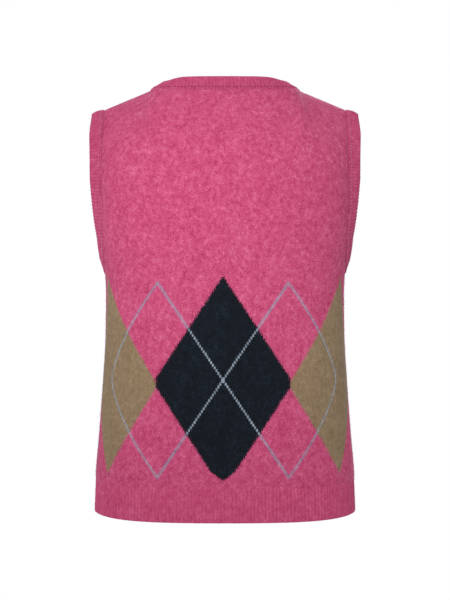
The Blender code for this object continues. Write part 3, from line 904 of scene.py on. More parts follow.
hems = {
    "back_hem_rib": ("back_panel", 0.0, BACK_SHARES, 1),
    "left_front_hem_rib": ("left_front", front_edge(HEM), FRONT_SHARES, 1),
    "right_front_hem_rib": ("right_front", front_edge(HEM), FRONT_SHARES, -1),
}
for node, (above, start, shares, way) in hems.items():
    grid, normals, _, side = panels[above]
    knit_band(node, *hem_rounds(side, start, shares, grid, normals, way), ring=False)

# %% [markdown]
# ## Shader maths
# Shader formulas are easier to read as formulas. A small class wraps a number socket, and
# Python's operators add the Math nodes. Every other node comes from one method.

# %% Sockets with operators
def math_node(operation):
    """A method that puts its number, and any other value, through one Math node."""
    def method(self, *values):
        inputs = dict(enumerate((self, *values)))
        return self.finish.node("ShaderNodeMath", {"operation": operation}, inputs)

    return method


class Number:
    """A number socket of a material: each operator adds one Math node to its tree."""

    def __init__(self, finish, socket):
        self.finish = finish
        self.socket = socket

    __add__ = __radd__ = math_node("ADD")
    __mul__ = __rmul__ = math_node("MULTIPLY")
    __sub__ = math_node("SUBTRACT")
    __truediv__ = math_node("DIVIDE")
    __abs__ = math_node("ABSOLUTE")
    __lt__ = math_node("LESS_THAN")
    floor = math_node("FLOOR")
    fraction = math_node("FRACT")
    sine = math_node("SINE")
    power = math_node("POWER")
    above = math_node("MAXIMUM")
    below = math_node("MINIMUM")

    def __rsub__(self, other):
        return self * -1 + other

    def share(self, low, high):
        """How far between low and high, held between 0 and 1 and eased."""
        limits = {"Value": self, "From Min": low, "From Max": high}
        return self.finish.node("ShaderNodeMapRange", {"interpolation_type": "SMOOTHSTEP"}, limits)


class Finish:
    """One material and its Principled BSDF."""

    def __init__(self, name, **constants):
        self.material = bpy.data.materials.new(name)
        self.material.use_nodes = True
        self.tree = self.material.node_tree
        self.surface = self.tree.nodes["Principled BSDF"]
        for socket, value in constants.items():
            self.surface.inputs[socket.replace("_", " ")].default_value = value

    def node(self, kind, settings, inputs, output=0):
        """Any node: its settings first, then the values or links of its sockets."""
        made = self.tree.nodes.new(kind)
        for key, value in settings.items():
            setattr(made, key, value)
        for key, value in inputs.items():
            if isinstance(value, Number):
                self.tree.links.new(value.socket, made.inputs[key])
            else:
                made.inputs[key].default_value = value
        return Number(self, made.outputs[output])

    def feed(self, socket, value):
        """Link a value to a socket of the Principled BSDF."""
        self.tree.links.new(value.socket, self.surface.inputs[socket])

    def blend(self, first, second, share):
        """The first colour, with a share of the second one mixed in."""
        return self.node("ShaderNodeMix", {"data_type": "RGBA"}, {0: share, 6: first, 7: second}, 2)

    def paint(self, shades, share, light=1.0):
        """Base colour from a dark and a light shade, mixed by a share of the light one."""
        dark, bright = (colour(*shade, light) for shade in shades)
        self.feed("Base Color", self.blend(dark, bright, share))

    def emboss(self, height, strength, distance):
        """A bump from a height of 0 to 1 that stands for the given distance."""
        inputs = {"Strength": strength, "Distance": distance, "Height": height}
        self.feed("Normal", self.node("ShaderNodeBump", {}, inputs))

    def noise(self, vector, scale, detail=2.0, roughness=0.5, distortion=0.0):
        """Noise of about 0 to 1 around 0.5, whose grain is 1 / scale metres."""
        inputs = {"Vector": vector, "Scale": scale, "Detail": detail,
                  "Roughness": roughness, "Distortion": distortion}
        return self.node("ShaderNodeTexNoise", {"noise_dimensions": "3D"}, inputs, "Fac")

    def place(self, stretch=(1, 1, 1)):
        """The piece's own coordinates in metres, stretched if asked."""
        here = self.node("ShaderNodeTexCoord", {}, {}, "Object")
        return self.node("ShaderNodeVectorMath", {"operation": "MULTIPLY"}, {0: here, 1: stretch})

    def stitch_place(self):
        """The wale and the course of a point, from the piece's UV map."""
        here = self.node("ShaderNodeUVMap", {"uv_map": "stitches"}, {})
        wale = self.node("ShaderNodeSeparateXYZ", {}, {"Vector": here}, "X")
        course = self.node("ShaderNodeSeparateXYZ", {}, {"Vector": here}, "Y")
        return wale, course


def colour(red, green, blue, light=1.0):
    """An sRGB colour out of 255 as a linear one, divided by the light that falls on it."""
    srgb = np.array([red, green, blue]) / 255
    linear = np.where(srgb > 0.04045, ((srgb + 0.055) / 1.055) ** 2.4, srgb / 12.92)
    return (*(linear / light), 1.0)


print("pink as a linear colour:", [round(float(x), 3) for x in colour(206, 83, 125)])

# %% [markdown]
# ## The argyle chart
# Argyle is traditional: a row of tall diamonds that touch at their corners, here navy at the
# centre and tan at the sides on a pink ground, crossed by thin lines one stitch wide. It
# could be painted, but the real one is counted, so it is charted in wales and courses. The
# photograph is too coarse to count its stitches, so the counts are the diamonds' sizes over
# the size of a stitch. The navy diamond steps about one stitch every second course, as is
# usual, with a blunt corner at each side and a blunt lower tip. Brushing has drawn fibres
# across every edge, so a fine noise moves the edges, and the tan and the lines are softer.

# %% Chart
PATTERN_SHIFT = 1.1
NAVY_WALES = 37.2
NAVY_TIPS = (77.0, 81.0)
NAVY_STEP = 0.49
NAVY_BLUNT_TIP = 74.0
TAN_CENTRE = 70.9
TAN_SKEW = 0.04
TAN_TIPS = (77.6, 71.0)
TAN_STEPS = (0.425, 0.52)
TAN_OUTER = 0.50
LINE_WALES = 36.0
LINE_TIP = 72.0
LINE_OUTER = 0.86
LINE_ROUND = 0.28
EDGE_FUZZ = 2.0
NAVY_SOFT = 0.4
TAN_SOFT = 0.9
LINE_SOFT = (0.30, 0.80)
HALO_SOFT = (0.40, 1.50)
TAN_FUZZ = 1.2
LINE_FUZZ = 0.15
HALO_FUZZ = 0.20
FUZZ_NOISE = (640, 2.0, 0.6)


def argyle(finish, wale, course):
    """Shares of navy, tan and line yarn, and of the line's halo, at a point. Each diamond's
    half width shrinks by a step at every course towards its upper and its lower tip, and its
    outer half is narrower where the cloth stretches round the side."""
    wale = wale - PATTERN_SHIFT
    fuzz = (finish.noise(finish.place(), *FUZZ_NOISE) - 0.5) * EDGE_FUZZ * 2
    stitch = abs(wale.floor() + 0.5)
    row = course.floor() + 0.5
    room = (NAVY_TIPS[0] - row).below(row + NAVY_TIPS[1]) * NAVY_STEP
    room = room.below(NAVY_WALES).below(row + NAVY_BLUNT_TIP)
    navy = (room - stitch + fuzz).share(-NAVY_SOFT, NAVY_SOFT)
    beyond = abs(wale) - (course * TAN_SKEW + TAN_CENTRE)
    away = beyond.above(beyond / -1).above(beyond / TAN_OUTER)
    room = ((TAN_TIPS[0] - course) * TAN_STEPS[0]).below((course + TAN_TIPS[1]) * TAN_STEPS[1])
    tan = (room - away + fuzz * TAN_FUZZ).share(-TAN_SOFT, TAN_SOFT)
    beyond = stitch - LINE_WALES
    away = (beyond / -1).above(beyond / LINE_OUTER)
    bend = (beyond * -1 < 0) * LINE_ROUND + 1
    to_line = abs(away + (abs(row) / LINE_TIP).power(bend) * LINE_WALES - LINE_WALES)
    line = 1 - (to_line + fuzz * LINE_FUZZ).share(*LINE_SOFT)
    halo = 1 - (to_line + fuzz * HALO_FUZZ).share(*HALO_SOFT)
    return navy, tan, line, halo


# %% [markdown]
# ## Brushed wool
# The yarn is spun from dyed fleece of slightly different shades and then brushed, so the
# pink is heathered: crimson patches of a few millimetres, and finer pale flecks where the
# fibres catch light. Noise at three grain sizes mixes these shades. The bump has the knit
# stitches, nearly hidden by the felted nap. Sheen, as on real wool, brightens the edges.

# %% Wool material
LIGHT = 1.62
PINKS = {"ground": (205, 80, 123), "deep": (168, 42, 86), "pale": (236, 132, 168)}
RIBS = {"ground": (203, 80, 122), "deep": (164, 42, 86), "pale": (234, 130, 167)}
NAVYS = {"ground": (12, 19, 29), "deep": (6, 9, 16), "pale": (33, 50, 64)}
TANS = {"ground": (148, 126, 97), "deep": (117, 95, 65), "pale": (181, 159, 129)}
LINES = {"ground": (150, 164, 178), "deep": (106, 122, 142), "pale": (196, 212, 212)}
LILACS = {"ground": (150, 140, 168), "deep": (122, 106, 140), "pale": (188, 176, 196)}
# painted highlight: paler pink for the armhole linking loops, which catch the light
LINK_HIGHLIGHTS = {"ground": (214, 112, 150), "deep": (176, 58, 100), "pale": (236, 160, 186)}
LINE_BARE = 0.22
LINE_BACKED = 0.40
LINE_FLECKS = 0.38
LILAC_SHARE = 0.58
# painted shade: the share of the deep rib shade that is mixed into the sunken purl wales
PURL_PAINTED_SHADE = 0.20
TAN_STRENGTH = 0.8
SHEEN_SHADE = (244, 222, 230)
BUMP = (0.55, 0.0006)
LEG_SLANT = 1.1
FELT_NOISE = (900, 2.0, 0.65)
FLECK_NOISE = (700, 1.0)
FLECK_RANGE = (0.36, 0.62)
FIBRE_STRETCH = (1, 1, 0.8)
GRAINS = ((190, 2.0, 0.5), (800, 2.0, 0.75, 0.2), (50, 1.0))
GRAIN_SHARES = (0.30, 0.60, 0.10)
DEEP_RANGE = (0.47, 0.67)
PALE_RANGE = (0.50, 0.70)
FULL_SHARE = 0.92


def heather(finish, shades, deep, pale, strength, light):
    """One yarn colour: its ground, with shares of its deep and pale shades."""
    ground, dark, bright = (colour(*shades[key], light) for key in ("ground", "deep", "pale"))
    mixed = finish.blend(ground, dark, deep * strength)
    return finish.blend(mixed, bright, pale * strength)


def fleece(finish):
    """Shares of deep and pale fibre at a point, from noise at three grain sizes."""
    here = finish.place(FIBRE_STRETCH)
    patch, grain, broad = (finish.noise(here, *numbers) * share
                           for numbers, share in zip(GRAINS, GRAIN_SHARES))
    mixed = patch + grain + broad
    return (1 - mixed).share(*DEEP_RANGE) * FULL_SHARE, mixed.share(*PALE_RANGE) * FULL_SHARE


def stitch_relief(finish, wale, course, depth):
    """Two slanted legs a stitch: each leg is a half sine across its half of the wale, times
    a half sine up a course that is sheared by the distance from the wale's middle."""
    across = wale.fraction()
    slant = abs(across - 0.5)
    up = (course - slant * LEG_SLANT).fraction()
    leg = abs((across * (2 * math.pi)).sine()) * (up * math.pi).sine()
    felt = finish.noise(finish.place(), *FELT_NOISE)
    return leg * depth + felt * (1 - depth)


def wool(name, charted, light_share, depth, strength, plain):
    """A wool finish: charted in argyle or plain rib, with the share of the light that its
    colours are divided by, so that a share below 1 paints the yarn lighter. The purl wales of a
    rib lie deeper, and a painted shade makes them a little darker. Depth is the stitches' share
    of the bump, and fibres and loops, which show no stitches, have no bump."""
    finish = Finish(name, Roughness=0.95, Sheen_Weight=0.05, Sheen_Roughness=0.45,
                    Specular_IOR_Level=0.15)
    finish.surface.inputs["Sheen Tint"].default_value = colour(*SHEEN_SHADE)
    light = LIGHT * light_share
    wale, course = finish.stitch_place()
    deep, pale = fleece(finish)
    tint = heather(finish, PINKS if charted else plain, deep, pale, strength, light)
    if charted:
        navy, tan, line, halo = argyle(finish, wale, course)
        flecks = finish.noise(finish.place(), *FLECK_NOISE).share(*FLECK_RANGE)
        shown = LINE_BARE + (navy + tan).below(1) * LINE_BACKED + flecks * LINE_FLECKS
        for shades, share, part in ((LILACS, halo * LILAC_SHARE, 1), (TANS, tan, TAN_STRENGTH),
                                    (NAVYS, navy, 1), (LINES, line * shown, 1)):
            yarn = heather(finish, shades, deep, pale, strength * part, light)
            tint = finish.blend(tint, yarn, share)
    else:
        # painted shade: a cosine across the wales darkens the purl wales, which lie deeper
        purl = (wale * math.pi + math.pi / 2).sine() * -0.5 + 0.5
        tint = finish.blend(tint, colour(*RIBS["deep"], light), purl * PURL_PAINTED_SHADE)
    finish.feed("Base Color", tint)
    if depth > 0:
        finish.emboss(stitch_relief(finish, wale, course, depth), *BUMP)
    return finish.material


# A share of the light below 1 paints a copy of a yarn lighter; the naps are a little lighter copies
# of their yarns.
WOOLS = (
    # name, charted, share of the light, depth, strength of the heather, plain shades
    ("argyle_wool", True, 1.00, 0.35, 1.0, RIBS),
    ("rib_wool", False, 1.00, 0.45, 0.8, RIBS),
    ("argyle_nap", True, 0.98, 0, 1.0, RIBS),
    ("rib_nap", False, 0.94, 0, 1.0, RIBS),
    # painted light: the hem wool and hem nap are painted lighter than the same rib yarn, against
    # the shade that falls at the hem
    ("hem_wool", False, 0.91, 0.45, 0.8, RIBS),
    ("hem_nap", False, 0.89, 0, 1.0, RIBS),
    ("linking_highlight_wool", False, 0.90, 0, 0.6, LINK_HIGHLIGHTS),
)
wools = {row[0]: wool(*row) for row in WOOLS}
for name, material in wools.items():
    print(name, "nodes:", len(material.node_tree.nodes))

# %% [markdown]
# ## Nap
# Brushing pulls fibre ends out of the yarn. They lie over the cloth and blur its outline. A
# hair system would need conversion at the end, so the fibres are one joined mesh: each is a
# thin closed spindle that starts in the cloth, rises and lies over. Its UV is that of its
# root, so it has its stitch's colour.

# %% Spindles
ASKEW = 0.01


def spokes(first, second, count):
    """Directions round a circle: cos a times the first one plus sin a times the second."""
    angle = 2 * math.pi * np.arange(count) / count
    return np.cos(angle)[:, None] * first[:, None] + np.sin(angle)[:, None] * second[:, None]


def spindle_faces(sides, rings):
    """Faces of one closed spindle: a fan at each tip and bands of quads between its rings."""
    k = np.arange(sides)
    after = (k + 1) % sides
    last = 1 + (rings - 1) * sides
    low = 1 + sides * np.arange(rings - 1)[:, None]
    high = low + sides
    between = np.stack([low + k, low + after, high + after, high + k], axis=2)
    start = np.stack([0 * k, 1 + after, 1 + k], axis=1)
    end = np.stack([last + k, last + after, 0 * k + last + sides], axis=1)
    return start, between.reshape(-1, 4), end


def spindles(name, roots, tips, bulge, radius, uv, sides=3, rings=1):
    """A mesh of many spindles. The line of each is root + t * (tip - root) + 4 t (1 - t) *
    bulge, and its radius is the given one times the sine of pi * t."""
    count = len(roots)
    t = np.arange(1, rings + 1) / (rings + 1)
    line = tips - roots
    side = unit(np.cross(line, bulge + line[:, [1, 2, 0]] * ASKEW))
    arch = (4 * t * (1 - t))[:, None] * bulge[:, None]
    centres = roots[:, None] + t[:, None] * line[:, None] + arch
    size = np.sin(math.pi * t)[:, None, None] * radius[:, None, None, None]
    spoke = spokes(side, unit(np.cross(line, side)), sides)
    around = (centres[:, :, None] + spoke[:, None] * size).reshape(count, -1, 3)
    points = np.concatenate([roots[:, None], around, tips[:, None]], axis=1)
    each = points.shape[1]
    offset = each * np.arange(count)[:, None, None]
    groups = [(part + offset).reshape(-1, part.shape[1]) for part in spindle_faces(sides, rings)]
    faces = [face for group in groups for face in group.tolist()]
    corners = np.concatenate([group.ravel() for group in groups])
    piece = mesh_object(name, points.reshape(-1, 3), faces, uv[corners // each])
    piece.data.shade_smooth()
    return piece


# %% [markdown]
# The roots are spread evenly over the outer face: cells are drawn by their area, and each
# fibre starts at a random point of its cell. Most fibres lie nearly flat and a few stand up.

# %% Fibres on the cloth
FIBRES_PER_AREA = 120000
FIBRE_LENGTH = 0.0042
FIBRE_RADIUS = 0.00005
LONGEST = 1.9
LENGTH_SPREAD = 0.35
RISE_SPREAD = 0.20
REACH_SHARE = 0.8
ARCH_SHARES = (0.03, 0.13)
SWERVE_SPREAD = 0.10
RADIUS_SHARES = (0.7, 1.3)
ROOT_DEPTH = 0.0002
OUTER_FACE = slice(1, 10)
PANEL_SEED = 11
BAND_SEED = 31


def cell_corners(grid):
    """The corners of every cell of a grid, as four grids, in turn round the cell."""
    return grid[:-1, :-1], grid[:-1, 1:], grid[1:, 1:], grid[1:, :-1]


def cell_areas(grid):
    """Area of every cell: half the cross product of its diagonals."""
    a, b, c, d = cell_corners(grid)
    return np.linalg.norm(np.cross(c - a, d - b), axis=2) / 2


def nap(name, outer, normals, uv, seed):
    """Fibres over a grid of outer points. Each starts at a two-way blend of the corners of a
    cell, which is drawn by its area."""
    random = np.random.default_rng(seed)
    area = cell_areas(outer).ravel()
    count = int(area.sum() * FIBRES_PER_AREA)
    cell = random.choice(len(area), count, p=area / area.sum())
    s, t = random.random((2, count, 1))

    def blend_corners(grid):
        a, b, c, d = (corner.reshape(-1, grid.shape[2])[cell] for corner in cell_corners(grid))
        return (a * (1 - s) + b * s) * (1 - t) + (d * (1 - s) + c * s) * t

    roots = blend_corners(outer)
    normal = unit(blend_corners(normals))
    heading = unit(np.cross(normal, random.normal(size=(count, 3))))
    spread = np.exp(random.normal(0, LENGTH_SPREAD, (count, 1)))
    length = FIBRE_LENGTH * np.minimum(spread, LONGEST)
    rise = np.abs(random.normal(0, RISE_SPREAD, (count, 1)))
    tips = roots + (heading + normal * rise) * length * REACH_SHARE
    arch = random.uniform(*ARCH_SHARES, (count, 1))
    swerve = random.normal(0, SWERVE_SPREAD, (count, 1))
    bulge = normal * length * arch + np.cross(normal, heading) * (length * swerve)
    radius = FIBRE_RADIUS * random.uniform(*RADIUS_SHARES, count)
    piece = spindles(name, roots - normal * ROOT_DEPTH, tips, bulge, radius, blend_corners(uv))
    print(name, "fibres:", count)
    return piece


naps = {}
for seed, (node, (grid, normals, uv, side)) in enumerate(panels.items(), start=PANEL_SEED):
    outer = panel_rounds(side, grid, normals)[:, :grid.shape[1]]
    naps[node] = nap(f"{node}_nap", outer, normals, uv, seed)
for seed, (node, (rounds, uv, away)) in enumerate(bands.items(), start=BAND_SEED):
    outer = rounds[:, OUTER_FACE]
    facing = np.repeat(away[:len(outer), None], outer.shape[1], axis=1)
    naps[node] = nap(f"{node}_nap", outer, facing, uv[:len(outer), OUTER_FACE], seed)
total = sum(len(piece.data.polygons) for piece in naps.values())
print("nap triangles:", total)

# %% [markdown]
# ## Linking chain
# The bands are linked to the panels stitch by stitch, which leaves a row of small loops just
# outside the seam. Round the armholes they catch the light as a pale dotted line in the
# photograph, so there they are painted in paler shades, a painted highlight. Each loop is two
# short closed spindles set as a V.

# %% Chain along the seams
CHAIN_OUT = 0.0040
CHAIN_RADIUS = 0.00052
CHAIN_SPREAD = 0.00070
CHAIN_END = 0.0045
CHAIN_RISE = 0.0001
LEG_BACK = 0.46 * WALE
LEG_AHEAD = 0.62 * WALE
LEG_ARCH = 0.00035


def linking_chain(name, edge, lean):
    """Two legs a stitch along an edge: from the chain's line out to both sides of the next.
    On an edge with ends the chain stops a little short, where it is darned in."""
    seam, across, away, distance = edge.stations(lean)
    first, last = (0.0, distance[-1]) if edge.ring else (CHAIN_END, distance[-1] - CHAIN_END)
    count = round((last - first) / WALE)
    place = first + (np.arange(count) + 0.5) / count * (last - first)
    line, out, up = (read_at(values, distance, place) for values in (seam, across, away))
    forward = unit(np.gradient(line, axis=0))
    middle = line + out * CHAIN_OUT + up * CHAIN_RISE
    roots = np.tile(middle - forward * LEG_BACK, (2, 1))
    ahead = middle + forward * LEG_AHEAD
    tips = np.concatenate([ahead - out * CHAIN_SPREAD, ahead + out * CHAIN_SPREAD])
    bulge = np.tile(up * LEG_ARCH, (2, 1))
    radius = np.full(2 * count, CHAIN_RADIUS)
    uv = np.tile(np.stack([place / WALE, 0 * place + CHAIN_OUT / COURSE], axis=1), (2, 1))
    piece = spindles(name, roots, tips, bulge, radius, uv, sides=5, rings=3)
    print(name, "stitches:", count)
    return piece


chains = {node: linking_chain(node.replace("band", "linking"), edge, lean_of(node))
          for node, edge in edges.items()}

# %% [markdown]
# ## Buttons
# Five round four-hole buttons, dyed to match, close the front. A button is turned, so its
# mesh is a profile carried round an axis, with a raised rim, a dish and rounded edges. The
# four holes are cut with a Boolean, once, and the same mesh is then set down five times.

# %% Button mesh
BUTTON_RADIUS = 0.0066
BUTTON_THICK = 0.0026
BUTTON_RIM = 0.0012
BUTTON_DISH = 0.0007
BUTTON_EDGE = 0.0006
DISH_SLOPE = 0.0008
EDGE_POINTS = 6
DISH_POINTS = 7
HOLE_STEPS = 20
HOLE_RADIUS = 0.00085
HOLE_SPREAD = 0.0015
BUTTON_STEPS = 72


def rounded_profile():
    """The button's half section, from the middle of its face over the rim to its back. Each
    curve is a quarter of a circle or half a cosine."""
    quarter = np.linspace(0, math.pi / 2, EDGE_POINTS)
    slope = np.linspace(0, math.pi, DISH_POINTS)
    rim = BUTTON_RADIUS - BUTTON_RIM
    corner = BUTTON_RADIUS - BUTTON_EDGE
    top = BUTTON_THICK - BUTTON_EDGE
    face = [(0.0, BUTTON_THICK - BUTTON_DISH), (rim * 0.5, BUTTON_THICK - BUTTON_DISH)]
    up = [(rim - DISH_SLOPE * (1 - a / math.pi),
           BUTTON_THICK - BUTTON_DISH * (1 + math.cos(a)) / 2) for a in slope]
    over = [(corner + BUTTON_EDGE * math.sin(a), top + BUTTON_EDGE * math.cos(a))
            for a in quarter]
    under = [(corner + BUTTON_EDGE * math.cos(a), BUTTON_EDGE - BUTTON_EDGE * math.sin(a))
             for a in quarter]
    return np.array(face + up + over + under + [(0.0, 0.0)])


def turned(name, profile, steps):
    """A profile carried round Z: x = r cos a, y = r sin a, with one point at each pole."""
    angle = 2 * math.pi * np.arange(steps) / steps
    r, z = profile[1:-1].T
    ring = np.stack([r[:, None] * np.cos(angle), r[:, None] * np.sin(angle),
                     np.repeat(z[:, None], steps, axis=1)], axis=2).reshape(-1, 3)
    points = np.concatenate([[[0, 0, profile[0, 1]]], ring, [[0, 0, profile[-1, 1]]]])
    k = np.arange(steps)
    after = (k + 1) % steps
    rows = 1 + steps * np.arange(len(r) - 1)[:, None]
    quads = np.stack([rows + k, rows + steps + k, rows + steps + after, rows + after], axis=2)
    last = 1 + steps * (len(r) - 1)
    fans = [*np.stack([0 * k, 1 + k, 1 + after], axis=1).tolist(),
            *np.stack([last + k, 0 * k + len(points) - 1, last + after], axis=1).tolist()]
    return mesh_object(name, points, quads.reshape(-1, 4).tolist() + fans)


def button_with_holes():
    """The turned button with its four holes cut, as a mesh on z = 0."""
    blank = turned("button_blank", rounded_profile(), BUTTON_STEPS)
    cylinder = np.array([(0, 4), (1, 4), (1, -4), (0, -4)]) * (HOLE_RADIUS, BUTTON_THICK)
    cutters = []
    for x in (-HOLE_SPREAD, HOLE_SPREAD):
        for y in (-HOLE_SPREAD, HOLE_SPREAD):
            cutter = turned("button_hole", cylinder, HOLE_STEPS)
            cutter.data.transform(Matrix.Translation((x, y, 0)))
            cut = blank.modifiers.new("hole", "BOOLEAN")
            cut.operation = "DIFFERENCE"
            cut.object = cutter
            cutters.append(cutter)
    bpy.context.view_layer.update()
    finished = blank.evaluated_get(bpy.context.evaluated_depsgraph_get())
    mesh = bpy.data.meshes.new_from_object(finished)
    for item in (*cutters, blank):
        bpy.data.objects.remove(item, do_unlink=True)
    return mesh


button_mesh = button_with_holes()
print("faces in a button:", len(button_mesh.polygons))

# %% [markdown]
# A button lies flat on the middle of the right front band. The CAD node says where, and the
# band's own directions say how it is turned. It is sewn on with two crossing strands, and the
# buttonhole under it is a slit bound with thread, a little longer than the button is wide.

# %% Thread
THREAD = 0.00022
THREAD_SIDES = 8
STRAND_POINTS = 15
STRAND_ARCH = 0.00030
STRAND_APART = 0.00024
STRAND_ABOVE = 0.00020
STRAND_TURN = 0.86
STRAND_DIVE = 0.0018
STRAND_OVER = (0.01, 0.02, 1)
SLIT_HALF = 0.0078
SLIT_WIDE = 0.00042
SLIT_STEEP = 3
SLIT_POWER = 0.2
BINDING = 0.00046
BINDING_STITCHES = 46
BINDING_SAMPLES = 5
BINDING_SWELL = 0.22


def thread_tube(path, radius, over, ring=False):
    """A circle carried along a path. At each point its plane is square to the path, with one
    spoke near the given direction. A ring's last point joins its first."""
    if ring:
        tangent = unit(np.roll(path, -1, axis=0) - np.roll(path, 1, axis=0))
    else:
        tangent = unit(np.gradient(path, axis=0))
    side = unit(np.cross(tangent, np.broadcast_to(over, path.shape)))
    up = np.cross(side, tangent)
    size = np.broadcast_to(radius, len(path))[:, None, None]
    rounds = path[:, None] + spokes(side, up, THREAD_SIDES) * size
    uv = np.stack(np.meshgrid(np.arange(len(path) + ring), np.arange(THREAD_SIDES + 1),
                              indexing="ij"), axis=2)
    return rounds, uv, ring


def button_thread():
    """Two strands each way, up through one hole, over the dish and down the opposite one."""
    across = np.linspace(-1, 1, STRAND_POINTS)
    arch = STRAND_ARCH * np.sqrt(np.maximum(1 - across ** 2, 0))
    dive = np.maximum(np.abs(across) - STRAND_TURN, 0) / (1 - STRAND_TURN) * STRAND_DIVE
    height = BUTTON_THICK - BUTTON_DISH + arch - dive
    strands = []
    for way in (-1, 1):
        for beside in (-STRAND_APART, STRAND_APART):
            line = np.stack([across, across * way, 0 * across], axis=1) * HOLE_SPREAD
            line += np.array([-way, 1, 0]) / math.sqrt(2) * beside
            line[:, 2] = height + (STRAND_ABOVE if way > 0 else 0.0)
            strands.append(thread_tube(line, THREAD, STRAND_OVER))
    return strands


def buttonhole():
    """The slit's binding: a stadium path with a thread round it whose radius swells once a
    stitch, as a sine."""
    count = BINDING_STITCHES * BINDING_SAMPLES
    angle = np.linspace(0, 2 * math.pi, count, endpoint=False)
    straight = SLIT_HALF - SLIT_WIDE
    sine = np.sin(angle)
    y = np.clip(sine * SLIT_STEEP, -1, 1) * straight * np.abs(sine) ** SLIT_POWER
    path = np.stack([SLIT_WIDE * np.cos(angle), y + SLIT_WIDE * sine, 0 * angle], axis=1)
    swell = BINDING * (1 + BINDING_SWELL * np.sin(angle * BINDING_STITCHES))
    return thread_tube(path, swell, (0, 0, 1), ring=True)


def place_points(points, centre, axes):
    """Points moved from the button's own axes to their place."""
    return points @ np.array(axes) + centre


# %% [markdown]
# The pieces of each button are placed by the same two steps: turn by the band's axes, then
# move to the CAD node's centre.

# %% Buttons in place
BUTTON_LEVELS = (-0.236, -0.311, -0.386, -0.461, -0.536)
SLIT_SINK = 0.0006
SHARP_BUTTON = math.radians(40)


def button_axes(level):
    """Across the band, along it, and away from the cloth, at the button's level."""
    edge = edges["right_front_band"]
    share = np.interp(level, edge.points[::-1, 2], edge.distance[::-1])
    normal, outward = (unit(read_at(values, edge.distance, [share]))[0]
                       for values in (edge.normals, edge.outward))
    across = unit(outward + LAP / BAND * normal)
    away = squared(normal, across)
    return across, np.cross(away, across), away


def joined_tubes(name, tubes, centre, axes):
    """Several tubes as one mesh object, each closed and facing out."""
    parts = [knit_mesh(name, place_points(rounds, centre, axes), uv, ring)
             for rounds, uv, ring in tubes]
    if len(parts) > 1:
        with bpy.context.temp_override(active_object=parts[0], selected_editable_objects=parts):
            bpy.ops.object.join()
    return parts[0]


buttons = {}
threads = {}
bindings = {}
for number, level in enumerate(BUTTON_LEVELS, start=1):
    node = f"button_{number}"
    low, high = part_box(node)
    axes = button_axes(level)
    centre = np.array((low + high) / 2) - axes[2] * BUTTON_THICK / 2
    mesh = button_mesh.copy()
    points = np.zeros(len(mesh.vertices) * 3)
    mesh.vertices.foreach_get("co", points)
    mesh.vertices.foreach_set("co", place_points(points.reshape(-1, 3), centre, axes).ravel())
    mesh.shade_smooth()
    mesh.set_sharp_from_angle(angle=SHARP_BUTTON)
    buttons[node] = linked(f"{node}_turned", mesh)
    threads[node] = joined_tubes(f"{node}_thread", button_thread(), centre, axes)
    on_band = centre - axes[2] * SLIT_SINK
    bindings[node] = joined_tubes(f"{node}_buttonhole", [buttonhole()], on_band, axes)
    print(node, "centre:", [round(float(x), 4) for x in centre])

# %% [markdown]
# ## Button and thread finishes
# The buttons are dyed to match: a smooth plastic with faint pearly bands under a clear
# surface. The thread is plain cotton, twisted, a shade darker than the wool.

# %% Button and thread materials
BUTTON_SHADES = ((118, 30, 64), (158, 50, 88))
THREAD_SHADES = ((150, 48, 86), (196, 84, 122))
PEARL_STRETCH = (1, 0.25, 1)
PEARL_NOISE = (420, 3.0, 0.6, 1.2)
PEARL_RANGE = (0.35, 0.65)
POLISH_NOISE = (1400, 2.0)
POLISH = (0.2, 0.15)
PLY_NOISE = (2600, 1.0)
PLY_RANGE = (0.3, 0.7)
PLY_BUMP = (0.4, 0.0002)


def button_finish():
    """Two close shades in soft bands, from stretched noise, under a thin coat."""
    finish = Finish("button_shell", Roughness=0.28, Coat_Weight=0.5, Coat_Roughness=0.08)
    here = finish.place(PEARL_STRETCH)
    pearl = finish.noise(here, *PEARL_NOISE).share(*PEARL_RANGE)
    finish.paint(BUTTON_SHADES, pearl, LIGHT)
    least, more = POLISH
    finish.feed("Roughness", finish.noise(here, *POLISH_NOISE) * more + least)
    return finish.material


def thread_finish():
    """Twisted plies: a fast noise mixes the two shades, and the same noise is the bump."""
    finish = Finish("sewing_thread", Roughness=0.8, Sheen_Weight=0.2)
    ply = finish.noise(finish.place(), *PLY_NOISE)
    finish.paint(THREAD_SHADES, ply.share(*PLY_RANGE), LIGHT)
    finish.emboss(ply, *PLY_BUMP)
    return finish.material


button_shell = button_finish()
sewing_thread = thread_finish()

# %% [markdown]
# ## Pieces on the body
# Every piece rides on the garment's one body and names its finish. The knitted pieces take
# the place of the CAD solids, which are hidden, and the size that each was cut or knitted to
# is printed. That size is measured on the piece's own grid: its longest row, its longest
# column, and its area.

# %% Riding, finishes and flat sizes
MEASURED_STEP = 8
OUTER_LINE = 3
EDGE_LINE = 8


def give(piece, material):
    """Put a piece on the body and give it its material."""
    piece.data.materials.clear()
    piece.data.materials.append(material)
    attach(piece, "root")


flat_sizes = {}
for node, (grid, normals, uv, side) in panels.items():
    width = max(along(row)[-1] for row in grid[::MEASURED_STEP])
    length = max(along(column)[-1] for column in grid.swapaxes(0, 1)[::MEASURED_STEP])
    flat_sizes[node] = (width, length, min(float(cell_areas(grid).sum()), width * length))
for node, (rounds, uv, away) in bands.items():
    length = along(rounds[:, OUTER_LINE])[-1]
    width = float(np.mean(np.linalg.norm(rounds[:, EDGE_LINE] - rounds[:, 0], axis=1)))
    flat_sizes[node] = (length, width, length * width)

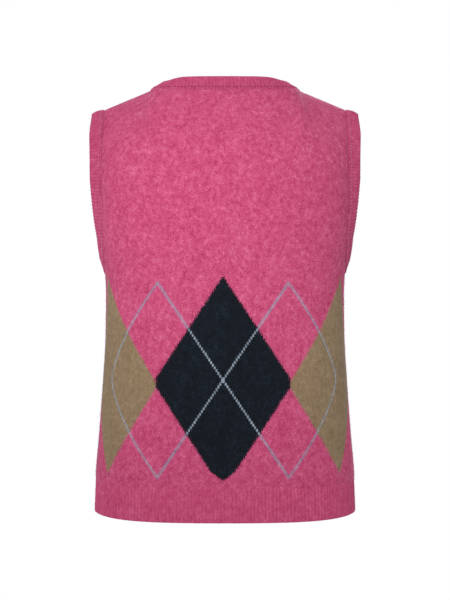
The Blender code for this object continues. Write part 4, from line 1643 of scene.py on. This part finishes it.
for node, piece in knit_pieces.items():
    yarn = "argyle" if node in panels else "hem" if node in hems else "rib"
    give(piece, wools[f"{yarn}_wool"])
    give(naps[node], wools[f"{yarn}_nap"])
    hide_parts(node)
    if node in chains:
        # the armhole loops get the paler linking yarn, a painted highlight
        link = "linking_highlight_wool" if node.endswith("armhole_band") else "rib_wool"
        give(chains[node], wools[link])
    width, length, area = flat_sizes[node]
    print(node, "flat:", round(width, 3), "x", round(length, 3), "m, area", round(area, 4))
for node, piece in buttons.items():
    give(piece, button_shell)
    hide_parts(node)
    give(threads[node], sewing_thread)
    give(bindings[node], sewing_thread)

# %% [markdown]
# ## Floor and light
# The photograph is a cut-out on white. The garment hangs at the height where it is worn, over
# a plain pale floor that lies below the picture. White light comes from all round, and a soft
# spot from high on the photograph's left falls on the upper back, which fades down to the hem
# and to the right as in the photograph. A second one does the same for the front.

# %% Stage and lights
FLOOR = -1.40
FLOOR_RADIUS = 2.6
FLOOR_THICK = 0.02
FLOOR_STEPS = 96
FLOOR_SHADES = ((236, 234, 231), (242, 240, 238))
FLOOR_NOISE = (40, 2.0)
FLOOR_RANGE = (0.2, 0.8)
SPOTS = (
    ("key", (0.80, 2.40, 0.45), (0.02, 0.10, -0.16), 20.5, 310.0),
    ("front", (-0.75, -2.35, 0.85), (-0.03, -0.10, -0.14), 24.0, 280.0),
)
SPOT_SIZE = 0.35
SPOT_COLOUR = (1.0, 0.97, 0.96)
WORLD_COLOUR = (1.0, 1.0, 1.04, 1.0)


def pale_floor():
    """A flat disc: rings of points r cos a, r sin a."""
    below = FLOOR - FLOOR_THICK
    profile = np.array([(0, FLOOR), (FLOOR_RADIUS, FLOOR), (FLOOR_RADIUS, below), (0, below)])
    disc = turned("floor", profile, FLOOR_STEPS)
    finish = Finish("pale_floor", Roughness=0.9)
    speckle = finish.noise(finish.place(), *FLOOR_NOISE).share(*FLOOR_RANGE)
    finish.paint(FLOOR_SHADES, speckle)
    disc.data.materials.append(finish.material)


def soft_spot(name, place, target, angle, energy):
    """A wide, blurred spot light that fades out from its middle to its edge."""
    data = bpy.data.lights.new(name, "SPOT")
    data.energy = energy
    data.color = SPOT_COLOUR
    data.spot_size = math.radians(angle)
    data.spot_blend = 1.0
    data.shadow_soft_size = SPOT_SIZE
    spot = linked(name, data)
    spot.location = place
    spot.rotation_euler = (Vector(target) - spot.location).to_track_quat("-Z", "Y").to_euler()


pale_floor()
for values in SPOTS:
    soft_spot(*values)
world = bpy.data.worlds.new("white")
world.use_nodes = True
world.node_tree.nodes["Background"].inputs["Color"].default_value = WORLD_COLOUR
world.node_tree.nodes["Background"].inputs["Strength"].default_value = 1.0
bpy.context.scene.world = world
bpy.context.scene.view_settings.view_transform = "Standard"
